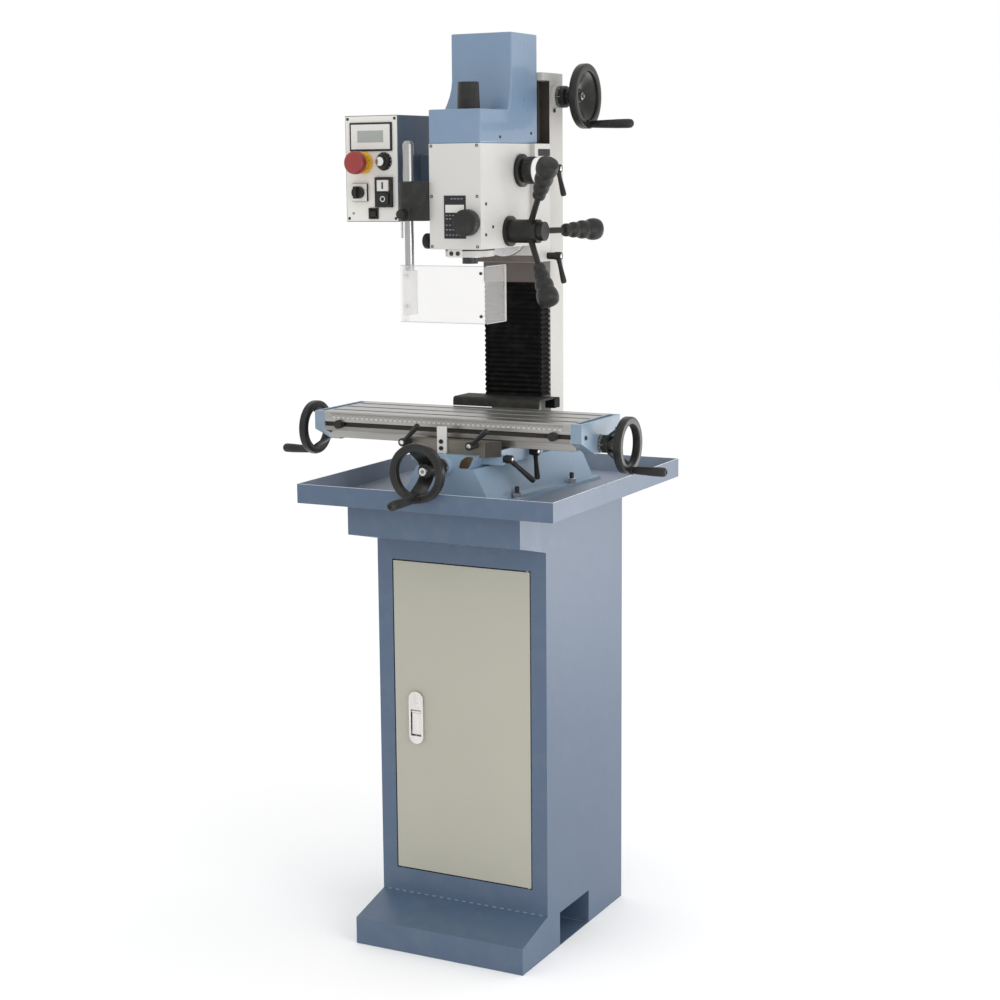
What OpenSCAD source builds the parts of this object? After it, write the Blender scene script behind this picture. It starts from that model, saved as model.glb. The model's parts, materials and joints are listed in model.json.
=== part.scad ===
// Mill drill on a cabinet stand: cross table, dovetail column, geared head and swing-away chip guard.
// Millimetres, +Z up, X along the table, Y from the operator to the column.
// The origin is on the floor under the middle of the stand.

/* [Stand] */
// Width of the stand
stand_w = 345; // [310:1:420]
// Depth of the stand's footprint
stand_d = 440; // [420:1:520]
// Height of the stand's top above the floor
stand_h = 832; // [800:1:900]
// Thickness of the stand's sheet steel
sheet_t = 2.5; // [2:0.5:4]
// Reach of the toe and the head block in front of the cabinet
toe_d = 103; // [80:1:120]
// Height of the toe at its front
toe_front_h = 50; // [40:1:60]
// Height of the toe where it meets the cabinet
toe_back_h = 74; // [62:1:90]
// Height of the head block's front
block_front_h = 58; // [45:1:75]
// Height of the head block at the cabinet
block_back_h = 82; // [76:1:95]
// Width of the fork pocket that runs through the stand
fork_w = 128; // [100:1:140]
// Height of the fork pocket
fork_h = 64; // [50:1:70]
// Width of the foot flange
foot_w = 30; // [20:1:40]

/* [Door] */
// Width of the door opening
door_open_w = 284; // [250:1:290]
// Bottom of the door opening above the floor
door_open_z = 120; // [100:1:150]
// Height of the wall over the door opening
door_head = 118; // [100:1:140]
// Gap round the door
door_gap = 2.5; // [2.5:0.5:4]
// Depth of the door's folded edge
door_return = 18; // [15:1:24]
// Thickness of the door's sheet
door_t = 2; // [1.5:0.5:3]
// Hinge axis from the door's edge
pivot_in = 6; // [6:0.5:8]
// Hinge axis behind the door's face
pivot_back = 5; // [4.5:0.5:5.5]
// Radius of the hinge pins
door_pin_r = 3; // [2.5:0.5:3.5]
// Thickness of the hinge tabs
tab_t = 3; // [2.5:0.5:5]
// Half the width of a hinge tab
tab_w = 12; // [10:1:16]
// Depth of a hinge tab behind the hinge axis
tab_back = 9; // [7:1:14]
// Width of the latch plate
latch_w = 30; // [26:1:36]
// Height of the latch plate
latch_h = 100; // [90:1:110]
// Width of the latch plate's lip
latch_lip = 4; // [3:0.5:5]
// Latch plate's reach in front of the door
latch_proud = 6; // [5:0.5:8]
// Height of the latch cup's mouth
latch_in_h = 50; // [48:1:54]
// Radius of the latch's lock
lock_r = 6; // [5:0.5:7]
// Depth of the latch cup behind the door's face
latch_cup_d = 8; // [6:1:12]
// Wall of the latch cup
latch_wall = 2; // [1.5:0.5:3]
// Latch from the door's free edge
latch_side = 46; // [40:1:60]
// Height of the latch's middle above the floor
latch_z = 418; // [380:1:460]
// Thickness of the latch paddle
paddle_t = 3; // [2:0.5:4]
// Height of the latch paddle
paddle_h = 46; // [40:1:46]
// Radius of the paddle's pin
paddle_pin_r = 1.5; // [1:0.25:2]
// Gap between the paddle and its cup
paddle_gap = 1.5; // [1:0.25:2]

/* [Chip tray] */
// Width of the chip tray
tray_w = 508; // [460:1:560]
// Depth of the chip tray
tray_d = 563; // [540:1:620]
// Height of the chip tray's wall
tray_h = 35; // [28:1:45]
// Thickness of the chip tray's sheet
tray_t = 2; // [1.5:0.5:3]
// Tray's middle behind the stand's middle
tray_y = 22.5; // [15:0.5:30]

/* [Base] */
// Front of the base casting
base_y = -170; // [-176:1:-164]
// Length of the base casting
base_d = 375; // [372:1:385]
// Thickness of the base's flange
flange_t = 6; // [5:0.5:10]
// Width of the flange at the front
flange_front_w = 220; // [200:1:230]
// Width of the flange at the back
flange_rear_w = 268; // [260:1:290]
// Width of the flared body's foot at the front
foot_front_w = 178; // [160:1:184]
// Width of the flared body's foot at the back
foot_rear_w = 236; // [220:1:244]
// Width of the body's crown at the front
crown_front_w = 114; // [108:1:124]
// Width of the body's crown at the back
crown_rear_w = 178; // [160:1:190]
// Height of the base's body
body_h = 65; // [60:1:75]
// Wall left round the base's hollow
base_wall = 14; // [10:1:18]
// Depth of the hollow under the base
hollow_h = 34; // [20:1:36]
// Height of the cross ways
way_h = 23; // [21:0.5:26]
// Width over the top of the cross ways
way_top_w = 120; // [112:1:126]
// Width at the foot of the cross ways
way_foot_w = 96; // [88:1:100]
// Width of the screw trough
trough_w = 34; // [32:1:40]
// Depth of the trough below the ways
trough_drop = 13; // [11:1:16]
// Thickness of the base's wall in front of the trough
front_wall = 20; // [15:1:30]
// Width of the pad under the column
pad_w = 150; // [140:1:160]
// Radius of the bearing boss on the base's front
y_boss_r = 16.5; // [14:0.5:17]
// Length of the bearing boss
y_boss_l = 15; // [10:1:20]
// Radius of the hold-down studs
stud_r = 5; // [4:0.5:6]
// Front studs from the middle
stud_front_x = 101; // [99:0.5:102]
// Rear studs from the middle
stud_rear_x = 120; // [118:0.5:121]
// Front studs behind the base's front
stud_front_d = 84; // [78:1:90]
// Rear studs behind the base's front
stud_rear_d = 275; // [265:1:285]
// Width across a hold-down nut
nut_w = 15; // [13:0.5:16]
// Height of a hold-down nut
nut_h = 8; // [6:0.5:10]

/* [Cross slide] */
// Front of the saddle
saddle_y = -150; // [-154:1:-146]
// Depth of the saddle
saddle_d = 190; // [180:1:194]
// Width of the saddle
saddle_w = 184; // [178:1:188]
// Thickness of the saddle over the cross ways
saddle_t = 8; // [7:0.5:10]
// Gap under the saddle's skirts
skirt_gap = 4; // [3:0.5:6]
// Cut of the saddle's right front corner
saddle_cut = 22; // [12:1:24]
// Height of the saddle's front lip
lip_h = 28; // [26:1:34]
// Depth of the saddle's front lip
lip_d = 22; // [18:1:24]
// Height of the table's dovetail
dove_h = 16; // [15:0.5:18]
// Half the width over the top of the table's dovetail
dove_top = 38; // [35:1:40]
// Half the width at the foot of the table's dovetail
dove_foot = 30; // [27:1:32]
// Half the width of the groove for the table's screw
groove_w = 11; // [10:0.5:13]
// Length of the screw nuts
nut_l = 40; // [30:1:50]
// Half the width of the cross nut
cross_nut_w = 14; // [13:0.5:15]
// How far the cross nut reaches below its screw
cross_nut_drop = 11; // [10:0.5:12]

/* [Table] */
// Length of the table
table_l = 501; // [460:1:540]
// Width of the table
table_w = 167.5; // [160:0.5:172]
// Thickness of the table's slab
table_t = 35; // [32:1:40]
// Where the table's middle stands along the travel
table_x = -27; // [-40:1:0]
// Where the table's middle stands across the travel
table_y = -39.5; // [-43:0.5:-38]
// Gap between the table's rails and the saddle
rail_gap = 1; // [0.5:0.25:2]
// Half the width over the table's rails
rail_w = 62; // [58:1:66]
// Distance between the slots
slot_pitch = 50; // [46:1:54]
// Width of a slot's throat
slot_w = 12; // [10:0.5:14]
// Depth of a slot's throat
slot_throat = 10; // [8:0.5:12]
// Width of a slot's undercut
slot_under_w = 20; // [17:0.5:22]
// Height of a slot's undercut
slot_under_h = 8; // [6:0.5:9]
// Height of the stop groove's middle under the table's top
stop_drop = 23; // [22:0.5:24]
// Width of the stop groove
stop_groove_w = 8; // [6:0.5:9]
// Depth of the stop groove
stop_groove_d = 6; // [4:0.5:8]
// Width of a table stop
stop_w = 18; // [14:1:22]
// Radius of a stop's knob
stop_r = 8; // [6:0.5:9]
// How far a table stop stands out
stop_out = 8; // [6:0.5:10]
// Stops from the table's ends
stop_in = 32.5; // [24:0.5:40]
// Thickness of the end brackets
end_t = 21; // [18:1:26]
// Depth of an end bracket's cheek below the table's top
end_cheek = 34; // [28:1:38]
// Half the width of an end bracket's boss
end_boss = 26; // [22:1:30]
// Width of the trough in an end bracket
gutter_w = 11; // [8:0.5:12]
// Depth of the trough in an end bracket
gutter_d = 14; // [10:1:18]
// Width of the pointer bracket
pointer_w = 18; // [14:1:22]
// Thickness of the pointer bracket
pointer_t = 6; // [4:0.5:7]
// Height of the pointer bracket
pointer_h = 48; // [44:1:50]
// Middle of the pointer bracket
pointer_x = -14; // [-18:1:-10]

/* [Handwheels] */
// Radius of the table's and cross slide's handwheels
wheel_r = 50; // [46:1:53]
// Radius of the height handwheel
z_wheel_r = 57; // [52:1:60]
// Thickness of a handwheel's rim
rim_t = 15; // [12:1:16]
// Corner of a handwheel's rim
rim_c = 4; // [3:0.5:5]
// Radial depth of a handwheel's rim
rim_d = 12; // [10:0.5:14]
// Radius of a handwheel's hub
hub_r = 14; // [12:0.5:15]
// Thickness of a handwheel's web
web_t = 7; // [6:0.5:9]
// Width of a handwheel's spoke
spoke_w = 24; // [20:1:28]
// How far a hub stands behind the rim
dish = 30; // [26:1:34]
// Length of a handwheel's grip
grip_l = 84; // [70:1:92]
// Length of a table handwheel's grip
x_grip_l = 62; // [54:1:70]
// Radius of a grip at its thick end
grip_r = 8.5; // [7.5:0.25:9.5]
// Radius of a grip at its thin end
grip_thin_r = 6.5; // [5.5:0.25:7]
// Rounding of a grip's end
grip_round = 3; // [2:0.5:4]
// Radius of a grip's pin
pin_r = 3; // [2.5:0.25:4]
// Radius of the collar under a grip
collar_r = 8; // [7:0.5:9]
// Length of the collar under a grip
collar_l = 4; // [3:0.5:6]
// Radius of a graduated dial
dial_r = 16; // [15.5:0.25:16.5]
// Length of a graduated dial
dial_l = 16; // [12:1:18]
// Radius of the table's screw
x_screw_r = 6.5; // [5.5:0.25:6.75]
// Height of the table's screw above the saddle's top
x_screw_h = 9; // [8:0.25:9.25]
// Table handwheels beyond the end brackets
x_wheel_out = 51; // [48:1:60]
// Radius of the cross slide's screw
y_screw_r = 7; // [6:0.25:8]
// Depth of the cross slide's screw below the top of the ways
y_screw_drop = 19; // [18.5:0.25:20]
// Cross slide's handwheel in front of the base
y_wheel_out = 100; // [98:1:110]
// Radius of the height shaft
z_shaft_r = 8; // [6:0.5:9]
// Height shaft below the column's top
z_shaft_drop = 43; // [40:1:50]
// Height handwheel beyond the column
z_wheel_out = 59; // [56:1:70]
// Radius of the height shaft's boss
z_boss_r = 22; // [18:1:24]
// Length of the height shaft's boss
z_boss_l = 14; // [10:1:18]

/* [Column] */
// Front of the column
column_y = 144; // [142:1:146]
// Width of the column
column_w = 118; // [112:1:120]
// Depth of the column
column_d = 56; // [52:1:60]
// Height of the column
column_h = 671; // [650:1:700]
// Wall of the column
column_wall = 12; // [9:0.5:13]
// Depth of the column's ways
column_way_d = 32; // [30:1:34]
// Half the width over the column's ways
column_way_top = 50; // [47:1:51]
// Half the width at the root of the column's ways
column_way_foot = 40; // [36:1:42]
// Width of the column's slot
column_slot_w = 36; // [34:1:44]
// Solid length at the foot of the column's slot
slot_foot = 80; // [60:1:90]
// Thickness of the column's top
column_top_t = 14; // [10:1:18]
// Radius of the column's screw
z_screw_r = 9; // [8:0.5:10]
// Width across the nut on the column's screw
z_nut_w = 26; // [22:1:30]
// Height of the nut on the column's screw
z_nut_h = 10; // [8:1:14]
// Height of the bellows' foot above the table's top
bellows_gap = 17; // [14:1:22]
// Width of the bellows
bellows_w = 117.8; // [117:0.2:120]
// Number of pleats in the bellows
pleats = 23; // [18:1:28]
// Depth of a pleat
pleat_d = 5; // [4:0.5:5.5]
// Thickness of the bellows' cloth
cloth_t = 1.6; // [1.2:0.2:2]
// Gap between the bellows and the ways
bellows_air = 3.4; // [3:0.2:5]
// Half the width of the way flap
flap_w = 99; // [85:1:110]
// Depth of the way flap
flap_d = 52; // [40:1:56]
// Fall of the way flap's front edge
flap_fall = 15; // [10:0.5:15.5]
// Thickness of the way flap
flap_t = 4; // [3:0.5:4]

/* [Head] */
// Underside of the head above the table's top
head_gap = 298.5; // [280:0.5:310]
// Width of the head
head_w = 102; // [96:1:108]
// Height of the head
head_h = 184; // [180:1:195]
// Spindle axis in front of the column
throat = 209; // [204:1:212]
// Head's face in front of the spindle axis
nose_d = 55; // [52:1:60]
// Thickness of the head's front plate
face_t = 6; // [4:0.5:8]
// Depth of the vertical slide
slide_d = 64; // [60:1:66]
// Width of the vertical slide
slide_w = 120; // [119:0.5:124]
// Vertical slide's foot below the head
slide_drop = 31; // [24:1:36]
// Gap between the vertical slide and the column's body
slide_gap = 2; // [1:0.5:3]
// Half the width of the vertical nut
lift_nut_w = 14; // [12:1:16]
// Vertical nut's reach beyond its screw
lift_nut_back = 14; // [13:0.5:15]
// Height of the vertical nut above the slide's foot
lift_nut_z = 110; // [90:1:130]
// Height of the plate over the bellows
apron_h = 38; // [30:1:44]
// Thickness of the plate over the bellows
apron_t = 4; // [3:0.5:5]
// Radius of the quill
quill_r = 35; // [32:0.5:36]
// Length of the quill
quill_l = 150; // [140:1:152]
// How far the quill stands out below the head
quill_out = 15; // [14:0.5:18]
// Radius of the head's boss round the quill
snout_r = 44; // [40:0.5:46]
// Depth of the boss below the head
snout_h = 14; // [10:0.5:14]
// Radius of the spindle in the quill
spindle_r = 20; // [18:0.5:22]
// Radius of the spindle's nose
nose_r = 14; // [12.5:0.5:16]
// Length of the spindle's nose below the quill
nose_l = 12; // [10:1:16]
// Mouth radius of the spindle's taper
taper_r = 8.9; // [8:0.1:9.5]
// End radius of the spindle's taper
taper_end_r = 7; // [6:0.1:7.5]
// Depth of the spindle's taper
taper_l = 64; // [55:1:70]
// Spindle's length above the quill
spindle_top = 8; // [5:1:10]
// Headroom over the spindle inside the head
head_room = 8; // [6:1:10]
// Left edge of the gear panel
panel_left = 21.5; // [18:0.5:24]
// Width of the gear panel
panel_w = 43; // [36:1:46]
// Height of the gear panel
panel_h = 75; // [60:1:80]
// Gear panel's foot above the head's underside
panel_z = 19; // [14:1:26]
// Thickness of the gear panel
panel_t = 1; // [0.5:0.25:2]
// Radius of the gear knob
gear_r = 21; // [18:0.5:22]
// Length of the gear knob
gear_l = 20; // [15:1:25]
// Gear knob's distance right of the middle
gear_x = 27.5; // [26:0.5:29]
// Gear knob's height above the head's underside
gear_z = 47; // [42:1:54]
// Radius of the gear knob's shaft
gear_shaft_r = 5; // [4:0.5:6]

/* [Covers] */
// Height of the belt cover
cover_h = 59; // [50:1:70]
// Thickness of the covers
cover_t = 2; // [1.5:0.5:3]
// Front of the motor tower behind the spindle axis
tower_front = 67; // [62:1:75]
// Depth of the motor tower
tower_d = 106; // [100:1:108]
// Left side of the motor tower
tower_left = 69.5; // [65:0.5:75]
// Height of the motor tower
tower_h = 136; // [120:1:150]
// Height of the tower's flared foot
flare_h = 52; // [40:1:60]
// Spread of the tower's flared foot
flare_out = 11; // [6:1:14]
// Radius of the motor
motor_r = 38; // [34:1:40]
// Height of the motor
motor_h = 168; // [150:1:170]
// Radius of the draw bar cap at its foot
cap_r = 20.5; // [18:0.5:23]
// Radius of the draw bar cap at its top
cap_top_r = 18.5; // [16:0.5:20]
// Height of the draw bar cap
cap_h = 48; // [40:1:55]

/* [Quill feed] */
// Feed shaft behind the spindle axis
feed_y = 54; // [50:1:58]
// Feed shaft above the head's underside
feed_z = 29; // [28:1:36]
// Radius of the feed shaft
feed_shaft_r = 12; // [10:0.5:13]
// Radius of the feed hub's flange
feed_flange_r = 27; // [24:0.5:28]
// Thickness of the feed hub's flange
feed_flange_t = 6; // [4:0.5:8]
// Radius of the feed hub
feed_hub_r = 21; // [18:0.5:23]
// Length of the feed hub
feed_hub_l = 54; // [48:1:58]
// Radius of the feed hub's cap
feed_cap_r = 17; // [14:0.5:19]
// Length of the feed hub's cap
feed_cap_l = 12; // [8:1:16]
// Length of a feed spoke
feed_arm_l = 105; // [95:1:110]
// Radius of a feed spoke
feed_arm_r = 5.5; // [4.5:0.5:6.5]
// Outward lean of a feed spoke
feed_lean = 28; // [22:1:32]
// Length of a spoke's grip
feed_grip_l = 82; // [70:1:86]
// Radius of a spoke's grip at its end
feed_grip_r = 20; // [15:0.5:21]
// Radius of the spring housing
spring_r = 20; // [16:1:23]
// Length of the spring housing
spring_l = 16; // [12:1:20]
// Fine feed knob behind the spindle axis
fine_y = 102; // [98:1:106]
// Fine feed knob above the head's underside
fine_z = 136; // [130:1:142]
// Radius of the fine feed's flange
fine_flange_r = 27; // [24:0.5:29]
// Thickness of the fine feed's flange
fine_flange_t = 8; // [6:0.5:10]
// Radius of the fine feed's neck
fine_neck_r = 17; // [14:0.5:20]
// Length of the fine feed's neck
fine_neck_l = 5; // [4:0.5:8]
// Radius of the fine feed knob
fine_r = 24.5; // [21:0.5:26]
// Length of the fine feed knob
fine_l = 20; // [15:1:24]
// Radius of the fine feed's shaft
fine_shaft_r = 6; // [5:0.5:7]
// Length of the fine feed's shaft
fine_shaft_l = 20; // [16:1:24]

/* [Clamp levers] */
// Radius of a clamp lever's hub
lever_hub_r = 7.5; // [6.5:0.25:8]
// Length of a long clamp lever's hub
lever_hub_l = 28; // [24:0.5:30]
// Length of a cross clamp lever's hub
y_hub_l = 17; // [15:0.5:18]
// Length of a clamp lever's arm
lever_arm_l = 52; // [44:1:56]
// Radius of a lever's arm at its hub
lever_root_r = 4; // [3.5:0.25:5]
// Radius of a lever's arm at its end
lever_end_r = 5.5; // [4.5:0.25:6]
// Radius of a clamp lever's stud
lever_stud_r = 4; // [3:0.25:4.5]
// Length of a clamp lever's stud in its casting
lever_stud_l = 8; // [6:0.5:9]
// Length of the front cross clamp lever's arm
y_arm_l = 64; // [56:1:66]
// Outward lean of a clamp lever's arm
lever_lean = 14; // [10:1:16]
// Outward lean of the front cross clamp lever's arm
y_lean = 30; // [26:1:32]
// Table clamp levers below the table's underside
x_lever_drop = 6.5; // [6:0.25:8]
// Left table clamp lever from the middle
x_lever_left = -83; // [-84:1:-78]
// Right table clamp lever from the middle
x_lever_right = 52; // [48:1:56]
// Cross clamp levers below the top of the ways
y_lever_drop = 9; // [8.5:0.25:9.5]
// Front cross clamp lever behind the saddle's front
y_lever_front = 32; // [28:1:38]
// Rear cross clamp lever behind the saddle's front
y_lever_rear = 138; // [130:1:146]
// Vertical clamp levers in front of the column
z_lever_y = 12; // [11:1:14]
// Upper vertical clamp lever above the slide's foot
z_lever_high = 170; // [160:1:180]
// Lower vertical clamp lever above the slide's foot
z_lever_low = 10; // [9:1:14]

/* [Control box] */
// Width of the control box
box_w = 110; // [100:1:120]
// Height of the control box
box_h = 190; // [180:1:200]
// Depth of the control box
box_d = 122; // [110:1:130]
// Wall of the control box
box_wall = 2; // [1.5:0.5:3]
// Gap between the head and the control box
box_gap = 85.5; // [80:0.5:90]
// Control box's foot above the head's underside
box_z = 47; // [40:1:56]
// Control box's face behind the head's face
box_back = 40; // [30:1:50]
// Thickness of the control panel
plate_t = 3; // [2:0.5:4]
// Depth of the bracket behind the control box
arm_d = 40; // [30:1:50]
// Height of the bracket behind the control box
arm_h = 50; // [40:1:60]
// Width of the display's bezel
display_w = 88; // [80:1:92]
// Height of the display's bezel
display_h = 51; // [44:1:54]
// Thickness of the display's bezel
display_t = 3; // [2:0.5:4]
// Display's middle below the panel's top
display_drop = 38; // [34:1:40]
// Radius of the emergency stop's head
estop_r = 20; // [18:0.5:21]
// Height of the emergency stop's head
estop_h = 16; // [13:1:18]
// Radius of the emergency stop's stem
estop_stem_r = 11; // [9:0.5:12]
// Radius of the emergency stop's collar
estop_collar_r = 15; // [14:0.5:16]
// Height of the emergency stop's collar
estop_collar_h = 14; // [12:0.5:15]
// Space behind the emergency stop's head
estop_space = 7; // [5.5:0.5:9]
// Emergency stop's middle from the panel's left side
estop_x = 38; // [36:1:40]
// Emergency stop's middle below the panel's top
estop_drop = 84; // [82:1:86]
// Radius of the speed knob
speed_r = 13; // [11:0.5:14]
// Length of the speed knob
speed_l = 16; // [13:1:18]
// Radius of the speed knob's shaft
speed_shaft_r = 3; // [2.5:0.25:3.5]
// Right-hand row of switches from the panel's left side
row_x = 81; // [79:1:83]
// Speed knob's middle below the panel's top
speed_drop = 82; // [80:1:84]
// Lower row of switches below the panel's top
row_drop = 137; // [134:1:139]
// Width of the direction switch's plate
turn_w = 32; // [28:1:34]
// Direction switch's middle from the panel's left side
turn_x = 31; // [28:1:34]
// Radius of the direction switch's knob
turn_r = 11; // [9:0.5:13]
// Length of the direction switch's knob
turn_l = 10; // [8:0.5:12]
// Width of the direction switch's handle
turn_bar_w = 6; // [5:0.5:7]
// Length of the direction switch's handle
turn_bar_l = 8; // [6:0.5:10]
// Width of the start and stop switch
start_w = 36; // [32:1:38]
// Height of the start and stop switch
start_h = 54; // [50:1:56]
// Thickness of a switch's frame
frame_t = 5; // [4:0.5:6]
// Width of a push button
button_w = 24; // [20:1:26]
// Height of a push button
button_h = 20; // [17:1:21]
// Space between the two push buttons
button_space = 4; // [3:0.5:6]
// Gap round a push button
button_gap = 0.5; // [0.4:0.1:0.8]
// Push button's reach out of its frame
button_out = 3; // [2.5:0.25:4]
// Push button's length
button_l = 11; // [10.5:0.5:12]
// Width of the rocker
rocker_w = 14; // [12:1:15]
// Height of the rocker
rocker_h = 11; // [9:0.5:11]
// Width of the rocker's frame
rocker_rim = 3; // [2:0.5:3]
// Radius of the rocker's barrel
rocker_r = 7; // [6.5:0.25:8]
// Reach of the rocker's barrel in front of the panel
rocker_out = 3; // [2.5:0.25:4]
// Rocker's middle from the panel's left side
rocker_x = 58; // [56:1:60]
// Rocker's middle below the panel's top
rocker_drop = 175; // [174:0.5:177]

/* [Chip guard] */
// Radius of the guard's rod
rod_r = 8; // [7:0.25:9]
// Guard's rod left of the head
rod_x = 42; // [38:1:46]
// Guard's rod in front of the head's face
rod_y = 0; // [-2:0.5:1]
// Top of the guard's rod above the head's underside
rod_top = 190; // [170:1:210]
// Foot of the guard's rod below the head's underside
rod_foot = 116; // [110:1:118]
// Radius of the guard clamp's sleeve
clamp_r = 17; // [15:1:20]
// Half the depth of the guard clamp's arm
clamp_half = 14; // [10:1:14]
// Foot of the guard's clamp above the head's underside
clamp_z = 50; // [46:1:60]
// Height of the guard's clamp
clamp_h = 68; // [60:1:76]
// Radius of the guard's clamping knob
thumb_r = 8; // [7:0.5:9]
// Length of the guard's clamping knob
thumb_l = 16; // [12:1:18]
// Radius of the clamping knob's screw
thumb_screw_r = 3; // [2.5:0.25:3.5]
// Clamping knob above the clamp's foot
thumb_z = 12; // [11:1:16]
// Half the width of the guard's rod block
block_w = 9.5; // [9.5:0.5:12]
// Back half depth of the guard's rod block
block_back_d = 12; // [11:0.5:14]
// Top of the shield below the head's underside
shield_drop = 28; // [24:1:30]
// Height of the shield
shield_h = 101; // [90:1:105]
// Thickness of the shield
shield_t = 3; // [2:0.5:4]
// Shield in front of the rod's axis
shield_out = 13; // [12:1:16]
// Shield's right side from the spindle axis
shield_right = 66; // [62:1:70]
// Depth of the shield's right wing
shield_wing = 80; // [70:1:84]
// Depth of the shield's left wing
shield_left_wing = 28; // [24:1:34]

/* [Fits] */
// Running clearance of round fits
run_clear = 0.05; // [0.03:0.01:0.1]
// Clearance of sliding faces and of welded sheets
slide_clear = 0.05; // [0.03:0.01:0.1]
// Gap between faces that turn past each other
face_gap = 0.3; // [0.2:0.05:0.5]
// Clearance of bolt holes
bolt_clear = 0.5; // [0.3:0.1:1]

/* [Hidden] */
$fn = 64;
// Overrun of a cut past the face it opens
over = 1;
stand_y0 = -stand_d / 2;
stand_x = stand_w / 2;
head_x = head_w / 2;
saddle_x = saddle_w / 2;
column_x = column_w / 2;
slide_x = slide_w / 2;
grip_foot = rim_t / 2 + collar_l;
stand_y1 = stand_d / 2;
floor_x = stand_x - sheet_t - slide_clear;
cab_y = stand_y0 + toe_d;
door_open_h = stand_h - door_open_z - door_head;
door_x = door_open_w / 2 - door_gap;
door_z0 = door_open_z + door_gap;
door_z1 = door_open_z + door_open_h - door_gap;
pivot_x = door_x - pivot_in;
pivot_y = cab_y + pivot_back;
latch_x = -door_x + latch_side;
latch_in_w = latch_w - 2 * latch_lip;
cup_x0 = latch_x - latch_in_w / 2 - latch_wall;
cup_x1 = latch_x + latch_in_w / 2 + latch_wall;
latch_z0 = latch_z - (latch_h - latch_w) / 2;
latch_z1 = latch_z0 + latch_in_h;
paddle_z = latch_z1 - paddle_t - paddle_gap;
paddle_y = cab_y - latch_proud + paddle_t + paddle_gap;
tray_z = stand_h + tray_t;
tray_y0 = tray_y - tray_d / 2;
crown_z = tray_z + body_h;
way_z = crown_z + way_h;
base_y1 = base_y + base_d;
trough_y1 = column_y - column_way_d - sheet_t;
studs = [
  [-stud_front_x, base_y + stud_front_d],
  [stud_front_x, base_y + stud_front_d],
  [-stud_rear_x, base_y + stud_rear_d],
  [stud_rear_x, base_y + stud_rear_d],
];
y_screw_z = way_z - y_screw_drop;
y_wheel_y = base_y - y_wheel_out;
saddle_y1 = saddle_y + saddle_d;
saddle_z = way_z + slide_clear + saddle_t;
dove_z = saddle_z + dove_h;
slab_z = dove_z + slide_clear + rail_gap;
table_z = slab_z + table_t;
table_x0 = table_x - table_l / 2;
table_x1 = table_x + table_l / 2;
table_y0 = table_y - table_w / 2;
table_y1 = table_y + table_w / 2;
x_screw_z = saddle_z + x_screw_h;
x_wheel_right = table_x1 + end_t + x_wheel_out;
x_wheel_left = table_x0 - end_t - x_wheel_out;
column_z1 = way_z + column_h;
column_y1 = column_y + column_d;
way_y = column_y - column_way_d;
z_screw_y = column_y + column_d / 2 - column_wall / 2;
z_shaft_z = column_z1 - z_shaft_drop;
z_shaft_y = column_y + column_d / 2;
z_wheel_x = column_x + z_wheel_out;
spindle_y = column_y - throat;
head_z = table_z + head_gap;
head_z1 = head_z + head_h;
face_y = spindle_y - nose_d;
gear_y = face_y - panel_t - face_gap;
quill_z = head_z - quill_out;
slide_y1 = column_y - slide_gap;
slide_y0 = slide_y1 - slide_d;
slide_z = head_z - slide_drop;
apron_z = slide_z - apron_h;
bellows_z = table_z + bellows_gap;
bellows_y = way_y - bellows_air - pleat_d - cloth_t;
bellows_y1 = column_y;
cover_z1 = head_z1 + cover_h;
tower_y0 = spindle_y + tower_front;
tower_y1 = tower_y0 + tower_d;
tower_z1 = cover_z1 + tower_h;
motor_x = (head_x - tower_left) / 2;
motor_y = (tower_y0 + tower_y1) / 2;
feed_ay = spindle_y + feed_y;
feed_az = head_z + feed_z;
feed_hub_x = head_x + face_gap + feed_flange_t;
feed_arm_x = feed_hub_x + feed_hub_l * 3 / 5;
fine_ay = spindle_y + fine_y;
fine_az = head_z + fine_z;
fine_x = head_x + face_gap;
x_lever_z = slab_z - x_lever_drop;
y_lever_z = way_z - y_lever_drop;
z_lever_ay = column_y - z_lever_y;
box_x1 = -head_x - box_gap;
box_x0 = box_x1 - box_w;
box_z0 = head_z + box_z;
box_z1 = box_z0 + box_h;
box_y0 = face_y + box_back;
box_y1 = box_y0 + plate_t + box_d;
estop_cx = box_x0 + estop_x;
estop_cz = box_z1 - estop_drop;
estop_y = box_y0 - estop_collar_h - estop_space;
row_cx = box_x0 + row_x;
row_cz = box_z1 - row_drop;
speed_cz = box_z1 - speed_drop;
turn_cx = box_x0 + turn_x;
rocker_cx = box_x0 + rocker_x;
rocker_cz = box_z1 - rocker_drop;
button_y = box_y0 - frame_t - button_out;
turn_y = box_y0 - frame_t - face_gap;
rod_ax = -head_x - rod_x;
rod_ay = face_y - rod_y;
clamp_z0 = head_z + clamp_z;
thumb_cz = clamp_z0 + thumb_z;
shield_z1 = head_z - shield_drop;
shield_z0 = shield_z1 - shield_h;
shield_y = rod_ay - shield_out;

// Box between two corners
module block(a, b) {
  translate(a)
    cube(b - a);
}

// Round bar along X
module bar_x(x0, x1, y, z, r) {
  translate([x0, y, z])
    rotate([0, 90, 0])
      cylinder(h = x1 - x0, r = r);
}

// Round bar along Y
module bar_y(y0, y1, x, z, r) {
  translate([x, y1, z])
    rotate([90, 0, 0])
      cylinder(h = y1 - y0, r = r);
}

// Round bar along Z
module bar_z(z0, z1, x, y, r) {
  translate([x, y, z0])
    cylinder(h = z1 - z0, r = r);
}

// Prism along X from points in Y and Z
module prism_x(x0, x1, points) {
  translate([x0, 0, 0])
    rotate([90, 0, 90])
      linear_extrude(height = x1 - x0)
        polygon(points);
}

// Prism along Y from points in X and Z
module prism_y(y0, y1, points) {
  translate([0, y1, 0])
    rotate([90, 0, 0])
      linear_extrude(height = y1 - y0)
        polygon(points);
}

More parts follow.
